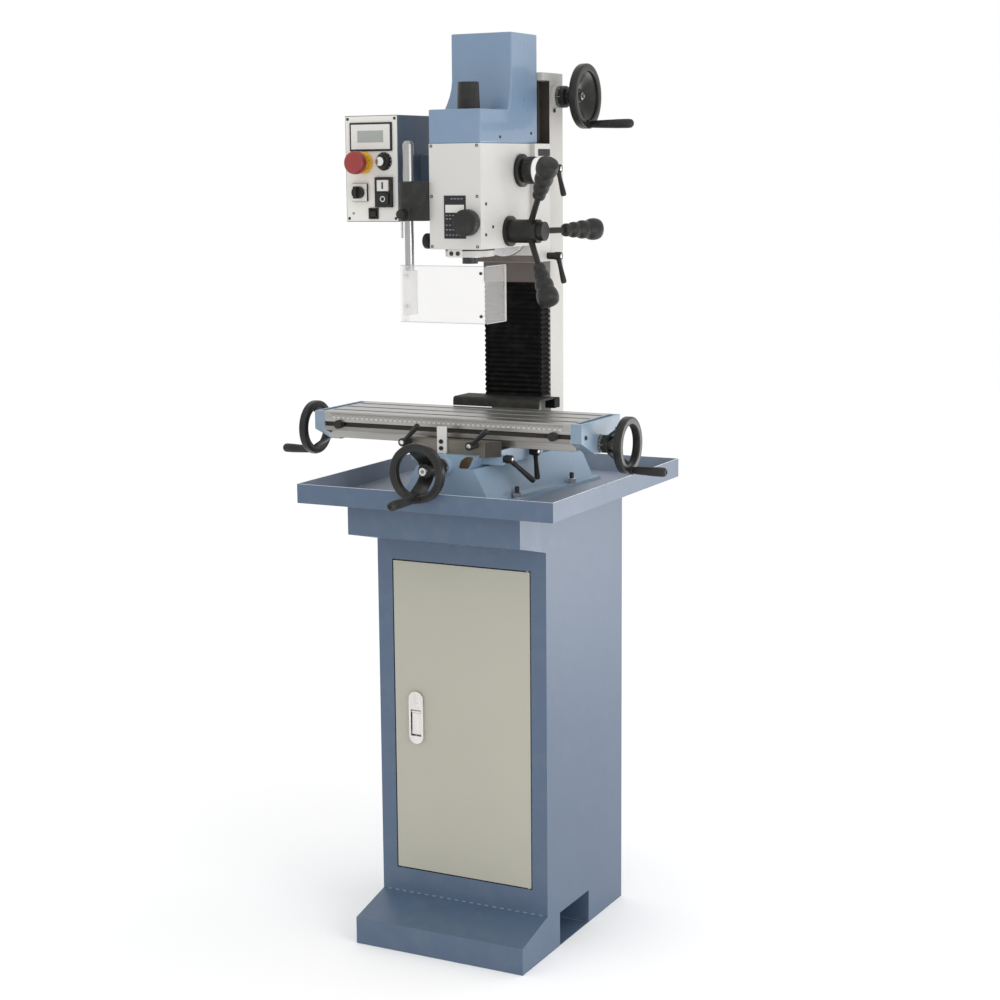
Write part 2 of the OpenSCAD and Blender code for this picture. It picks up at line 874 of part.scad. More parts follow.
// Prism along Z from points in X and Y
module prism_z(z0, z1, points) {
  translate([0, 0, z0])
    linear_extrude(height = z1 - z0)
      polygon(points);
}

// Corners of a dovetail about c: half widths w0 at h0 and w1 at h1, its flanks run on by e0 and e1
function dovetail(c, w0, h0, w1, h1, e0, e1) =
  let (s = (w1 - w0) / (h1 - h0), a = w0 - s * e0, b = w1 + s * e1)
    [[c - a, h0 - e0], [c + a, h0 - e0], [c + b, h1 + e1], [c - b, h1 + e1]];

// Side profile of the stand, drawn t inside its outline and d below the floor
function stand_profile(t, d) = [
  [stand_y0 + t, -d],
  [stand_y0 + t, toe_front_h - t],
  [cab_y + t, toe_back_h - t],
  [cab_y + t, stand_h - block_back_h + t],
  [stand_y0 + t, stand_h - block_front_h + t],
  [stand_y0 + t, stand_h - t],
  [stand_y1 - t, stand_h - t],
  [stand_y1 - t, -d],
];

// Welded cabinet: folded shell with fork pocket and foot flange, back sheet, floor sheet
module stand() {
  color("#5f7596")
  difference() {
    union() {
      difference() {
        prism_x(-stand_x, stand_x, stand_profile(0, 0));
        prism_x(-stand_x + sheet_t, stand_x - sheet_t, stand_profile(sheet_t, over));
      }
      block([-floor_x, cab_y, fork_h], [floor_x, stand_y1 - sheet_t, fork_h + sheet_t]);
      for (side = [-1, 1])
        translate([0, side * (fork_w + sheet_t) / 2, 0])
          block([-stand_x, -sheet_t / 2, 0], [stand_x, sheet_t / 2, fork_h - slide_clear]);
      difference() {
        block([-stand_x, stand_y0, 0], [stand_x, stand_y1, sheet_t]);
        block(
          [-stand_x + foot_w, stand_y0 + foot_w, -over],
          [stand_x - foot_w, stand_y1 - foot_w, sheet_t + over]
        );
      }
      for (z = [door_open_z - tab_t, door_open_z + door_open_h])
        block(
          [pivot_x - tab_w, cab_y, z],
          [pivot_x + tab_w, pivot_y + tab_back, z + tab_t]
        );
    }
    block([-stand_x - over, -fork_w / 2, -over], [stand_x + over, fork_w / 2, fork_h]);
    block(
      [-stand_x - over, stand_y1 - sheet_t - slide_clear, -over],
      [stand_x + over, stand_y1 - sheet_t, stand_h + over]
    );
    block(
      [-door_open_w / 2, cab_y - over, door_open_z],
      [door_open_w / 2, cab_y + sheet_t + over, door_open_z + door_open_h]
    );
    bar_z(door_open_z - tab_t - over, door_z1 + tab_t * 2 + over, pivot_x, pivot_y, door_pin_r + run_clear);
    for (s = studs)
      bar_z(stand_h - sheet_t - over, stand_h + over, s[0], s[1], stud_r + bolt_clear);
  }
}

// Door pan with its hinge pins and latch cut-out
module door() {
  color("#b5b2a2")
  difference() {
    union() {
      difference() {
        block([-door_x, cab_y, door_z0], [door_x, cab_y + door_return, door_z1]);
        block(
          [-door_x + door_t, cab_y + door_t, door_z0 + door_t],
          [door_x - door_t, cab_y + door_return + over, door_z1 - door_t]
        );
      }
      bar_z(door_z1 - door_t, door_z1 + door_gap + tab_t, pivot_x, pivot_y, door_pin_r);
      bar_z(door_z0 - door_gap - tab_t, door_z0 + door_t, pivot_x, pivot_y, door_pin_r);
    }
    block(
      [cup_x0, cab_y - over, latch_z0 - latch_wall],
      [cup_x1, cab_y + door_t + over, latch_z1 + latch_wall]
    );
  }
}

// Round-ended latch plate with its lock and recessed cup
module latch_plate() {
  color("#c3c6ca")
  difference() {
    union() {
      block(
        [latch_x - latch_w / 2, cab_y - latch_proud, latch_z0],
        [latch_x + latch_w / 2, cab_y, latch_z0 + latch_h - latch_w]
      );
      for (z = [latch_z0, latch_z0 + latch_h - latch_w])
        bar_y(cab_y - latch_proud, cab_y, latch_x, z, latch_w / 2);
      bar_y(cab_y - latch_proud - latch_wall / 2, cab_y, latch_x, latch_z1 + latch_wall + lock_r, lock_r);
      block(
        [cup_x0, cab_y - latch_proud, latch_z0 - latch_wall],
        [cup_x1, cab_y + latch_cup_d, latch_z1 + latch_wall]
      );
    }
    block(
      [cup_x0 + latch_wall, cab_y - latch_proud - over, latch_z0],
      [cup_x1 - latch_wall, cab_y + latch_cup_d - latch_wall, latch_z1]
    );
    bar_x(cup_x0, cup_x1, paddle_y, paddle_z, paddle_pin_r + run_clear);
  }
}

// Latch paddle on its cross pin
module latch_paddle() {
  color("#cfd2d6")
  union() {
    block(
      [cup_x0 + latch_wall + paddle_gap, paddle_y - paddle_t / 2, paddle_z + paddle_t - paddle_h],
      [cup_x1 - latch_wall - paddle_gap, paddle_y + paddle_t / 2, paddle_z]
    );
    bar_x(cup_x0, cup_x1, paddle_y, paddle_z, paddle_pin_r);
    bar_x(cup_x0 + latch_wall + paddle_gap, cup_x1 - latch_wall - paddle_gap, paddle_y, paddle_z, paddle_t);
  }
}

// Folded chip tray
module chip_tray() {
  color("#5f7596")
  difference() {
    block([-tray_w / 2, tray_y0, stand_h], [tray_w / 2, tray_y0 + tray_d, stand_h + tray_h]);
    block(
      [-tray_w / 2 + tray_t, tray_y0 + tray_t, tray_z],
      [tray_w / 2 - tray_t, tray_y0 + tray_d - tray_t, stand_h + tray_h + over]
    );
    for (s = studs)
      bar_z(stand_h - over, tray_z + over, s[0], s[1], stud_r + bolt_clear);
  }
}

// Studs and nuts that hold the base down through the tray
module hold_down_studs() {
  color("#3a3a3c")
  for (s = studs)
    translate([s[0], s[1], 0])
      union() {
        bar_z(stand_h - sheet_t - nut_h, tray_z + flange_t + nut_h * 3 / 2, 0, 0, stud_r);
        translate([0, 0, tray_z + flange_t])
          cylinder(h = nut_h, d = nut_w, $fn = 6);
        translate([0, 0, stand_h - sheet_t - nut_h])
          cylinder(h = nut_h, d = nut_w, $fn = 6);
      }
}

// Base casting with cross ways, screw trough, bearing boss and column pad
module base() {
  color("#86a3c4")
  difference() {
    union() {
      prism_z(tray_z, tray_z + flange_t, [
        [-flange_front_w / 2, base_y],
        [flange_front_w / 2, base_y],
        [flange_rear_w / 2, base_y1],
        [-flange_rear_w / 2, base_y1],
      ]);
      hull() {
        prism_z(tray_z, tray_z + flange_t, [
          [-foot_front_w / 2, base_y],
          [foot_front_w / 2, base_y],
          [foot_rear_w / 2, base_y1],
          [-foot_rear_w / 2, base_y1],
        ]);
        prism_z(crown_z - flange_t, crown_z, [
          [-crown_front_w / 2, base_y],
          [crown_front_w / 2, base_y],
          [crown_rear_w / 2, base_y1],
          [-crown_rear_w / 2, base_y1],
        ]);
      }
      prism_y(base_y, way_y, dovetail(0, way_foot_w / 2, crown_z, way_top_w / 2, way_z, over, 0));
      block([-pad_w / 2, way_y, crown_z - over], [pad_w / 2, base_y1, way_z]);
      bar_y(base_y - y_boss_l, base_y + over, 0, y_screw_z, y_boss_r);
    }
    block(
      [-trough_w / 2, base_y + front_wall, crown_z - trough_drop],
      [trough_w / 2, trough_y1, way_z + over]
    );
    block(
      [-foot_front_w / 2 + base_wall * 2, base_y + base_wall, tray_z - over],
      [foot_front_w / 2 - base_wall * 2, base_y1 - base_wall, tray_z + hollow_h]
    );
    bar_y(base_y - y_boss_l - over, base_y + front_wall + over, 0, y_screw_z, y_screw_r + run_clear);
    for (s = studs)
      bar_z(tray_z - over, tray_z + flange_t + over, s[0], s[1], stud_r + bolt_clear);
    for (s = studs)
      bar_z(tray_z + flange_t, way_z, s[0], s[1], nut_w * 3 / 4);
  }
}

// Hollow column with dovetail ways, nut slot and closed top
module column() {
  color("#e4e0d8")
  difference() {
    union() {
      block([-column_x, column_y, way_z], [column_x, column_y1, column_z1]);
      block([-column_x, way_y, column_z1 - column_top_t], [column_x, column_y1, column_z1]);
      prism_z(
        way_z, column_z1 - column_top_t + over,
        dovetail(0, column_way_top, way_y, column_way_foot, column_y, 0, over)
      );
    }
    block(
      [-column_x + column_wall, column_y + column_wall, way_z - over],
      [column_x - column_wall, column_y1 - column_wall, column_z1 - column_top_t]
    );
    block(
      [-column_slot_w / 2, way_y - over, way_z + slot_foot],
      [column_slot_w / 2, column_y + column_wall + over, column_z1 - column_top_t]
    );
    bar_z(column_z1 - column_top_t - over, column_z1 + over, 0, z_screw_y, z_screw_r + run_clear);
    bar_x(
      column_x - column_wall - over, column_x + over,
      z_shaft_y, z_shaft_z, z_shaft_r + run_clear
    );
  }
}

// Bearing boss of the height shaft
module z_boss() {
  color("#d9d5cc")
  difference() {
    bar_x(column_x, column_x + z_boss_l, z_shaft_y, z_shaft_z, z_boss_r);
    bar_x(
      column_x - over, column_x + z_boss_l + over,
      z_shaft_y, z_shaft_z, z_shaft_r + run_clear
    );
  }
}

// Zigzag sheet profile of the bellows: outer edge at distance a, folding inwards
function pleat_line(a, s) = [
  for (i = [0 : 2 * pleats])
    [a + s * (i % 2) * pleat_d, bellows_z + i * (apron_z - bellows_z) / (2 * pleats)],
];
function pleat_points(a, s) = concat(
  pleat_line(a, s),
  [for (i = [2 * pleats : -1 : 0]) pleat_line(a + s * cloth_t, s)[i]]
);

// Pleated bellows over the column's ways
module bellows() {
  color("#1d1d1e")
  union() {
    prism_x(-bellows_w / 2, bellows_w / 2, pleat_points(bellows_y, 1));
    for (side = [-1, 1])
      prism_y(bellows_y, bellows_y1, pleat_points(side * bellows_w / 2, -side));
  }
}

// Rubber flap over the cross ways under the bellows
module way_flap() {
  color("#19191a")
  prism_x(-flap_w, flap_w, [
    [way_y, bellows_z],
    [way_y - flap_d, bellows_z],
    [way_y - flap_d, bellows_z - flap_fall],
    [way_y - flap_d + flap_t, bellows_z - flap_fall],
    [way_y - flap_d + flap_t, bellows_z - flap_t],
    [way_y, bellows_z - flap_t],
  ]);
}

// Saddle with skirts, front lip, the table's dovetail and both screw nuts
module saddle() {
  color("#b9bcbf")
  difference() {
    union() {
      difference() {
        union() {
          block(
            [-saddle_x, saddle_y + lip_d - over, crown_z + skirt_gap],
            [saddle_x, saddle_y1, saddle_z]
          );
          prism_z(dove_z - lip_h, dove_z, [
            [-saddle_x, saddle_y],
            [saddle_x - saddle_cut, saddle_y],
            [saddle_x, saddle_y + lip_d],
            [-saddle_x, saddle_y + lip_d],
          ]);
          prism_x(
            -saddle_x, saddle_x,
            dovetail(table_y, dove_foot, saddle_z, dove_top, dove_z, over, 0)
          );
        }
        prism_y(
          saddle_y - over, saddle_y1 + over,
          dovetail(
            0, way_foot_w / 2 + slide_clear, crown_z,
            way_top_w / 2 + slide_clear, way_z, 0, slide_clear
          )
        );
      }
      block(
        [-cross_nut_w, table_y - nut_l / 2, y_screw_z - cross_nut_drop],
        [cross_nut_w, table_y + nut_l / 2, saddle_z - saddle_t / 2]
      );
    }
    bar_y(table_y - nut_l, table_y + nut_l, 0, y_screw_z, y_screw_r + run_clear);
    for (x = [-saddle_x - over, nut_l / 2])
      block(
        [x, table_y - groove_w, saddle_z],
        [x + saddle_x - nut_l / 2 + over, table_y + groove_w, dove_z + over]
      );
    bar_x(-saddle_x - over, saddle_x + over, table_y, x_screw_z, x_screw_r + run_clear);
    for (x = [x_lever_left, x_lever_right])
      bar_y(saddle_y - over, saddle_y + lever_stud_l + over, x, x_lever_z, lever_stud_r + run_clear);
    for (d = [y_lever_front, y_lever_rear])
      bar_x(
        saddle_x - lever_stud_l - over, saddle_x + over,
        saddle_y + d, y_lever_z, lever_stud_r + run_clear
      );
  }
}

// Pointer bracket in front of the saddle
module pointer_bracket() {
  color("#c9cbcd")
  block(
    [pointer_x - pointer_w / 2, saddle_y - pointer_t, dove_z - saddle_t * 3],
    [pointer_x + pointer_w / 2, saddle_y, dove_z - saddle_t * 3 + pointer_h]
  );
}

// Turns of the clamp levers' arms from upright
x_turns = [-48, -52];
y_turns = [-140, 160];
z_turn = 180;

// Clamp lever along +X: stud, hub of length h, arm of length l turned by a and leaning out
module clamp_lever(h, l, a, lean) {
  color("#202022")
  union() {
    bar_x(-lever_stud_l, over, 0, 0, lever_stud_r);
    bar_x(0, h, 0, 0, lever_hub_r);
    translate([h - lever_hub_r, 0, 0])
      rotate([a, 0, 0])
        rotate([0, lean, 0])
          cylinder(h = l, r1 = lever_root_r, r2 = lever_end_r);
  }
}

module x_lock_left() {
  translate([x_lever_left, saddle_y, x_lever_z])
    rotate([0, 0, -90])
      clamp_lever(lever_hub_l, lever_arm_l, x_turns[0], lever_lean);
}

module x_lock_right() {
  translate([x_lever_right, saddle_y, x_lever_z])
    rotate([0, 0, -90])
      clamp_lever(lever_hub_l, lever_arm_l, x_turns[1], lever_lean);
}

module y_lock_front() {
  translate([saddle_x, saddle_y + y_lever_front, y_lever_z])
    clamp_lever(y_hub_l, y_arm_l, y_turns[0], y_lean);
}

module y_lock_rear() {
  translate([saddle_x, saddle_y + y_lever_rear, y_lever_z])
    clamp_lever(y_hub_l, lever_arm_l, y_turns[1], lever_lean);
}

module z_lock_upper() {
  translate([slide_x, z_lever_ay, slide_z + z_lever_high])
    clamp_lever(lever_hub_l, lever_arm_l, z_turn, lever_lean);
}

module z_lock_lower() {
  translate([slide_x, z_lever_ay, slide_z + z_lever_low])
    clamp_lever(lever_hub_l, lever_arm_l, z_turn, lever_lean);
}

// Slotted table with its rails and stop groove
module table() {
  color("#aeb1b3")
  difference() {
    union() {
      block([table_x0, table_y0, slab_z], [table_x1, table_y1, table_z]);
      block(
        [table_x0, table_y - rail_w, saddle_z + rail_gap],
        [table_x1, table_y + rail_w, slab_z + over]
      );
    }
    prism_x(
      table_x0 - over, table_x1 + over,
      dovetail(
        table_y, dove_foot + slide_clear, saddle_z,
        dove_top + slide_clear, dove_z, 0, slide_clear
      )
    );
    for (i = [-1, 0, 1])
      translate([0, table_y + i * slot_pitch, table_z]) {
        block([table_x0 - over, -slot_w / 2, -slot_throat - over], [table_x1 + over, slot_w / 2, over]);
        block(
          [table_x0 - over, -slot_under_w / 2, -slot_throat - slot_under_h],
          [table_x1 + over, slot_under_w / 2, -slot_throat]
        );
      }
    block(
      [table_x0 - over, table_y0 - over, table_z - stop_drop - stop_groove_w / 2],
      [table_x1 + over, table_y0 + stop_groove_d, table_z - stop_drop + stop_groove_w / 2]
    );
  }
}

// End brackets that carry the table's screw
module table_ends() {
  color("#86a3c4")
  for (side = [-1, 1])
    translate([table_x + side * (table_l + end_t) / 2, 0, 0])
      difference() {
        prism_x(-end_t / 2, end_t / 2, [
          [table_y0, table_z],
          [table_y0, table_z - end_cheek],
          [table_y - end_boss, x_screw_z - dial_r],
          [table_y + end_boss, x_screw_z - dial_r],
          [table_y1, table_z - end_cheek],
          [table_y1, table_z],
        ]);
        block(
          [-gutter_w / 2, table_y0 + end_t / 2, table_z - gutter_d],
          [gutter_w / 2, table_y1 - end_t / 2, table_z + over]
        );
        bar_x(-end_t, end_t, table_y, x_screw_z, x_screw_r + run_clear);
      }
}

// Adjustable stops in the table's front groove
module table_stops() {
  color("#202022")
  for (side = [-1, 1])
    translate([table_x + side * (table_l / 2 - stop_in), table_y0, table_z - stop_drop])
      union() {
        bar_y(-stop_out, 0, 0, 0, stop_r);
        block(
          [-stop_w / 2, -over, -stop_groove_w / 2 + slide_clear],
          [stop_w / 2, stop_groove_d - slide_clear, stop_groove_w / 2 - slide_clear]
        );
      }
}

// Table screw between the two handwheels
module x_screw() {
  color("#9fa2a5")
  bar_x(x_wheel_left - rim_t / 2, x_wheel_right + rim_t / 2, table_y, x_screw_z, x_screw_r);
}

// Handwheel on the X axis, its rim at the origin: radius r, bore b, hub l, spoke w, grip g
module handwheel(r, b, l, w, g) {
  difference() {
    union() {
      rotate([0, 90, 0])
        rotate_extrude()
          polygon([
            [r - rim_d, -rim_t / 2 + rim_c],
            [r - rim_d + rim_c, -rim_t / 2],
            [r - rim_c, -rim_t / 2],
            [r, -rim_t / 2 + rim_c],
            [r, rim_t / 2 - rim_c],
            [r - rim_c, rim_t / 2],
            [r - rim_d + rim_c, rim_t / 2],
            [r - rim_d, rim_t / 2 - rim_c],
          ]);
      intersection() {
        rotate([0, 90, 0])
          rotate_extrude()
            polygon([
              [0, -dish],
              [hub_r, -dish],
              [r - rim_d / 2, -web_t / 2],
              [r - rim_d / 2, web_t / 2],
              [hub_r, -dish + web_t * 2],
              [0, -dish + web_t * 2],
            ]);
        block([-l, -w / 2, -r], [l, w / 2, r]);
      }
      bar_x(-l, -dish + web_t * 3, 0, 0, hub_r);
      bar_x(-l, -l + dial_l, 0, 0, dial_r);
      bar_x(0, grip_foot, 0, rim_d / 2 - r, collar_r);
      bar_x(0, grip_foot + g - grip_round * 3, 0, rim_d / 2 - r, pin_r);
    }
    bar_x(-l - over, l, 0, 0, b);
  }
}

// Grip of length l on the X axis, its foot at the origin
module grip(l) {
  color("#1c1c1e")
  difference() {
    rotate([0, 90, 0])
      rotate_extrude()
        polygon([
          [0, 0],
          [grip_thin_r, 0],
          [grip_r, l * 2 / 3],
          [grip_r, l - grip_round],
          [grip_r - grip_round, l],
          [0, l],
        ]);
    bar_x(-over, l - grip_round * 2, 0, 0, pin_r + run_clear);
  }
}

// Length of a table handwheel's hub
x_hub_l = x_wheel_out - face_gap;

// Both table handwheels on the one screw
module x_wheels() {
  color("#242426")
  union() {
    translate([x_wheel_right, table_y, x_screw_z])
      handwheel(wheel_r, x_screw_r, x_hub_l, spoke_w, x_grip_l);
    translate([x_wheel_left, table_y, x_screw_z])
      mirror([1, 0, 0])
        handwheel(wheel_r, x_screw_r, x_hub_l, spoke_w, x_grip_l);
  }
}

module x_grip_right() {
  translate([x_wheel_right + grip_foot, table_y, x_screw_z + rim_d / 2 - wheel_r])
    grip(x_grip_l);
}

module x_grip_left() {
  translate([x_wheel_left - rim_t / 2 - collar_l, table_y, x_screw_z + rim_d / 2 - wheel_r])
    mirror([1, 0, 0])
      grip(x_grip_l);
}

// Cross screw in the base's trough
module y_screw() {
  color("#9fa2a5")
  bar_y(y_wheel_y - rim_t / 2, trough_y1 - front_wall / 2, 0, y_screw_z, y_screw_r);
}

module y_wheel() {
  color("#242426")
  translate([0, y_wheel_y, y_screw_z])
    rotate([0, 0, -90])
      handwheel(wheel_r, y_screw_r, y_wheel_out - y_boss_l - face_gap, spoke_w, grip_l);
}

module y_grip() {
  translate([0, y_wheel_y - rim_t / 2 - collar_l, y_screw_z + rim_d / 2 - wheel_r])
    rotate([0, 0, -90])
      grip(grip_l);
}

// Column screw with the nut above the column
module z_screw() {
  color("#8f9295")
  union() {
    bar_z(way_z + slot_foot / 2, column_z1 + z_nut_h, 0, z_screw_y, z_screw_r);
    translate([0, z_screw_y, column_z1])
      cylinder(h = z_nut_h, d = z_nut_w, $fn = 6);
  }
}

// Height handwheel with a full web and its shaft into the column
module z_wheel() {
  color("#242426")
  union() {
    translate([z_wheel_x, z_shaft_y, z_shaft_z])
      handwheel(z_wheel_r, z_shaft_r, z_wheel_out - z_boss_l - face_gap, 2 * z_wheel_r, grip_l);
    bar_x(
      column_x - column_wall * 3 / 2, z_wheel_x - dish + web_t * 2,
      z_shaft_y, z_shaft_z, z_shaft_r
    );
  }
}

module z_grip() {
  translate([z_wheel_x + grip_foot, z_shaft_y, z_shaft_z + rim_d / 2 - z_wheel_r])
    grip(grip_l);
}

// Vertical slide with its dovetail and the nut in the column's slot
module z_slide() {
  color("#dedad2")
  difference() {
    union() {
      difference() {
        block([-slide_x, slide_y0, slide_z], [slide_x, slide_y1, head_z1]);
        prism_z(
          slide_z - over, head_z1 + over,
          dovetail(
            0, column_way_top + slide_clear, way_y,
            column_way_foot + slide_clear, column_y, slide_clear, 0
          )
        );
      }
      block(
        [-lift_nut_w, way_y - over, slide_z + lift_nut_z],
        [lift_nut_w, z_screw_y + lift_nut_back, slide_z + lift_nut_z + nut_l]
      );
    }
    bar_z(
      slide_z + lift_nut_z - over, slide_z + lift_nut_z + nut_l + over,
      0, z_screw_y, z_screw_r + run_clear
    );
    for (z = [z_lever_high, z_lever_low])
      bar_x(
        slide_x - lever_stud_l - over, slide_x + over,
        z_lever_ay, slide_z + z, lever_stud_r + run_clear
      );
  }
}

// Plate between the vertical slide and the bellows
module bellows_apron() {
  color("#6a615c")
  block([-slide_x, bellows_y, apron_z], [slide_x, bellows_y + apron_t, slide_z]);
}

// Head casting with its boss and bores
module head() {
  color("#e6e3dc")
  difference() {
    union() {
      block([-head_x, face_y + face_t, head_z], [head_x, slide_y0, head_z1]);
      bar_z(head_z - snout_h, head_z + over, 0, spindle_y, snout_r);
    }
    bar_z(head_z - snout_h - over, head_z1 - head_room, 0, spindle_y, quill_r + run_clear);
    bar_x(
      -head_x + face_t, head_x + over,
      feed_ay, feed_az, feed_shaft_r + run_clear
    );
    bar_x(
      head_x - fine_shaft_l - over, head_x + over,
      fine_ay, fine_az, fine_shaft_r + run_clear
    );
  }
}

module head_front() {
  color("#e6e3dc")
  difference() {
    block([-head_x, face_y, head_z], [head_x, face_y + face_t, head_z1]);
    bar_y(face_y - over, face_y + face_t + over, gear_x, head_z + gear_z, gear_shaft_r + run_clear);
  }
}

// Gear range panel on the head's face
module gear_panel() {
  color("#2a2b2e")
  difference() {
    block(
      [-panel_left, face_y - panel_t, head_z + panel_z],
      [panel_w - panel_left, face_y, head_z + panel_z + panel_h]
    );
    bar_y(face_y - panel_t - over, face_y + over, gear_x, head_z + gear_z, gear_shaft_r + run_clear);
  }
}

module gear_knob() {
  color("#1d1d1f")
  union() {
    bar_y(
      gear_y - gear_l, gear_y,
      gear_x, head_z + gear_z, gear_r
    );
    bar_y(gear_y - over, face_y + face_t, gear_x, head_z + gear_z, gear_shaft_r);
  }
}

// Outline of the belt cover and motor tower, t inside its skin and d below its foot
module cover_body(t, d) {
  block(
    [-head_x + t, face_y + t, head_z1 - d],
    [head_x - t, tower_y1 - t, cover_z1 - t]
  );
  hull() {
    block(
      [-tower_left - flare_out + t, tower_y0 - flare_out + t, head_z1 - d],
      [head_x - t, tower_y1 - t, cover_z1 - t]
    );
    block(
      [-tower_left + t, tower_y0 + t, cover_z1 + flare_h - t],
      [head_x - t, tower_y1 - t, tower_z1 - t]
    );
  }
}

// Belt cover and motor tower in one folded skin
module belt_cover() {
  color("#6f8fb4")
  difference() {
    cover_body(0, 0);
    cover_body(cover_t, over);
  }
}

module motor() {
  color("#4b4e52")
  bar_z(head_z1, head_z1 + motor_h, motor_x, motor_y, motor_r);
}

module drawbar_cap() {
  color("#19191b")
  translate([0, spindle_y, cover_z1])
    cylinder(h = cap_h, r1 = cap_r, r2 = cap_top_r);
}

module quill() {
  color("#b4b7ba")
  difference() {
    bar_z(quill_z, quill_z + quill_l, 0, spindle_y, quill_r);
    bar_z(
      quill_z - over, quill_z + quill_l + over,
      0, spindle_y, spindle_r + run_clear
    );
  }
}

// Spindle with its taper socket
module spindle() {
  color("#7c7f83")
  difference() {
    union() {
      bar_z(quill_z, quill_z + quill_l + spindle_top, 0, spindle_y, spindle_r);
      bar_z(quill_z - nose_l, head_z, 0, spindle_y, nose_r);
    }
    translate([0, spindle_y, quill_z - nose_l])
      cylinder(h = taper_l, r1 = taper_r, r2 = taper_end_r);
    bar_z(
      quill_z - nose_l - over, quill_z - nose_l + over,
      0, spindle_y, taper_r
    );
  }
}

// Feed hub with its shaft and three leaning spokes
module feed_hub() {
  color("#222224")
  union() {
    bar_x(
      -head_x + face_t + face_gap, head_x + face_gap + over,
      feed_ay, feed_az, feed_shaft_r
    );
    bar_x(head_x + face_gap, feed_hub_x, feed_ay, feed_az, feed_flange_r);
    bar_x(feed_hub_x - over, feed_hub_x + feed_hub_l, feed_ay, feed_az, feed_hub_r);
    bar_x(
      feed_hub_x + feed_hub_l - over, feed_hub_x + feed_hub_l + feed_cap_l,
      feed_ay, feed_az, feed_cap_r
    );
    for (a = [0, 120, 240])
      translate([feed_arm_x, feed_ay, feed_az])
        rotate([a - 90, 0, 0])
          rotate([0, feed_lean, 0])
            cylinder(h = feed_arm_l, r = feed_arm_r);
  }
}

// Stepped grips on the three spokes
module feed_grips() {
  color("#161618")
  for (a = [0, 120, 240])
    translate([feed_arm_x, feed_ay, feed_az])
      rotate([a - 90, 0, 0])
        rotate([0, feed_lean, 0])
          translate([0, 0, feed_arm_l - feed_grip_l / 3])
            difference() {
              rotate_extrude()
                polygon(concat(
                  [[0, feed_grip_l], [0, 0]],
                  [for (i = [0 : 3]) each grip_step(i)]
                ));
              translate([0, 0, -over])
                cylinder(h = feed_grip_l / 3 + over, r = feed_arm_r);
            }
}

// Shares of a grip step's radius and height, from one waist to the next
step_radius_shares = [0.72, 0.94, 1, 0.9, 0.72];
step_height_shares = [0.02, 0.2, 0.5, 0.82, 0.98];
// Shares of the end radius and the length for a grip's four steps
step_size_shares = [0.6, 0.72, 0.84, 1];
step_start_shares = [0, 0.18, 0.4, 0.66, 1];

function grip_step(i) = [
  for (k = [0 : 4]) [
    feed_grip_r * step_size_shares[i] * step_radius_shares[k],
    feed_grip_l * (step_start_shares[i]
      + (step_start_shares[i + 1] - step_start_shares[i]) * step_height_shares[k]),
  ],
];

// Housing of the quill's return spring
module spring_housing() {
  color("#1c1c1e")
  bar_x(-head_x - spring_l, -head_x, feed_ay, feed_az, spring_r);
}

// Fine feed knob with its dial flange
module fine_knob() {
  color("#1f1f21")
  union() {
    bar_x(head_x - fine_shaft_l, fine_x + over, fine_ay, fine_az, fine_shaft_r);
    bar_x(fine_x, fine_x + fine_flange_t, fine_ay, fine_az, fine_flange_r);
    bar_x(
      fine_x + fine_flange_t - over, fine_x + fine_flange_t + fine_neck_l + over,
      fine_ay, fine_az, fine_neck_r
    );
    bar_x(
      fine_x + fine_flange_t + fine_neck_l, fine_x + fine_flange_t + fine_neck_l + fine_l,
      fine_ay, fine_az, fine_r
    );
  }
}

// Control box with its bracket
module control_box() {
  color("#3f5878")
  union() {
    difference() {
      block([box_x0, box_y0 + plate_t, box_z0], [box_x1, box_y1, box_z1]);
      block(
        [box_x0 + box_wall, box_y0 + plate_t - over, box_z0 + box_wall],
        [box_x1 - box_wall, box_y1 - box_wall, box_z1 - box_wall]
      );
    }
    block(
      [box_x1 - box_wall, box_y1 - arm_d, (box_z0 + box_z1 - arm_h) / 2],
      [-head_x, box_y1, (box_z0 + box_z1 + arm_h) / 2]
    );
  }
}

// Outlines of the two push buttons, grown by g, between depths y0 and y1
module button_box(side, g, y0, y1) {
  z = row_cz + side * (button_h + button_space) / 2;
  block(
    [row_cx - button_w / 2 - g, y0, z - button_h / 2 - g],
    [row_cx + button_w / 2 + g, y1, z + button_h / 2 + g]
  );
}

// Front plate of the control box with bezel and stop collar
module control_panel() {
  color("#e2dfd9")
  difference() {
    union() {
      block([box_x0, box_y0, box_z0], [box_x1, box_y0 + plate_t, box_z1]);
      block(
        [(box_x0 + box_x1 - display_w) / 2, box_y0 - display_t, box_z1 - display_drop - display_h / 2],
        [(box_x0 + box_x1 + display_w) / 2, box_y0, box_z1 - display_drop + display_h / 2]
      );
      bar_y(box_y0 - estop_collar_h, box_y0, estop_cx, estop_cz, estop_collar_r);
    }
    bar_y(
      box_y0 - estop_collar_h - over, box_y0 + plate_t + over,
      estop_cx, estop_cz, estop_stem_r + run_clear
    );
    bar_y(box_y0 - over, box_y0 + plate_t + over, row_cx, speed_cz, speed_shaft_r + run_clear);
    bar_y(box_y0 - over, box_y0 + plate_t + over, turn_cx, row_cz, speed_shaft_r + run_clear);
    for (side = [-1, 1])
      button_box(side, button_gap, box_y0 - over, box_y0 + plate_t + over);
    block(
      [rocker_cx - rocker_w / 2 - rocker_rim / 2, box_y0 - over, rocker_cz - rocker_r - over],
      [rocker_cx + rocker_w / 2 + rocker_rim / 2, box_y0 + plate_t + over, rocker_cz + rocker_r + over]
    );
  }
}

// Emergency stop's mushroom head on its stem
module estop() {
  color("#b4232a")
  union() {
    bar_y(estop_y - estop_h, estop_y, estop_cx, estop_cz, estop_r);
    bar_y(estop_y - over, box_y0 + plate_t + box_wall, estop_cx, estop_cz, estop_stem_r);
  }
}

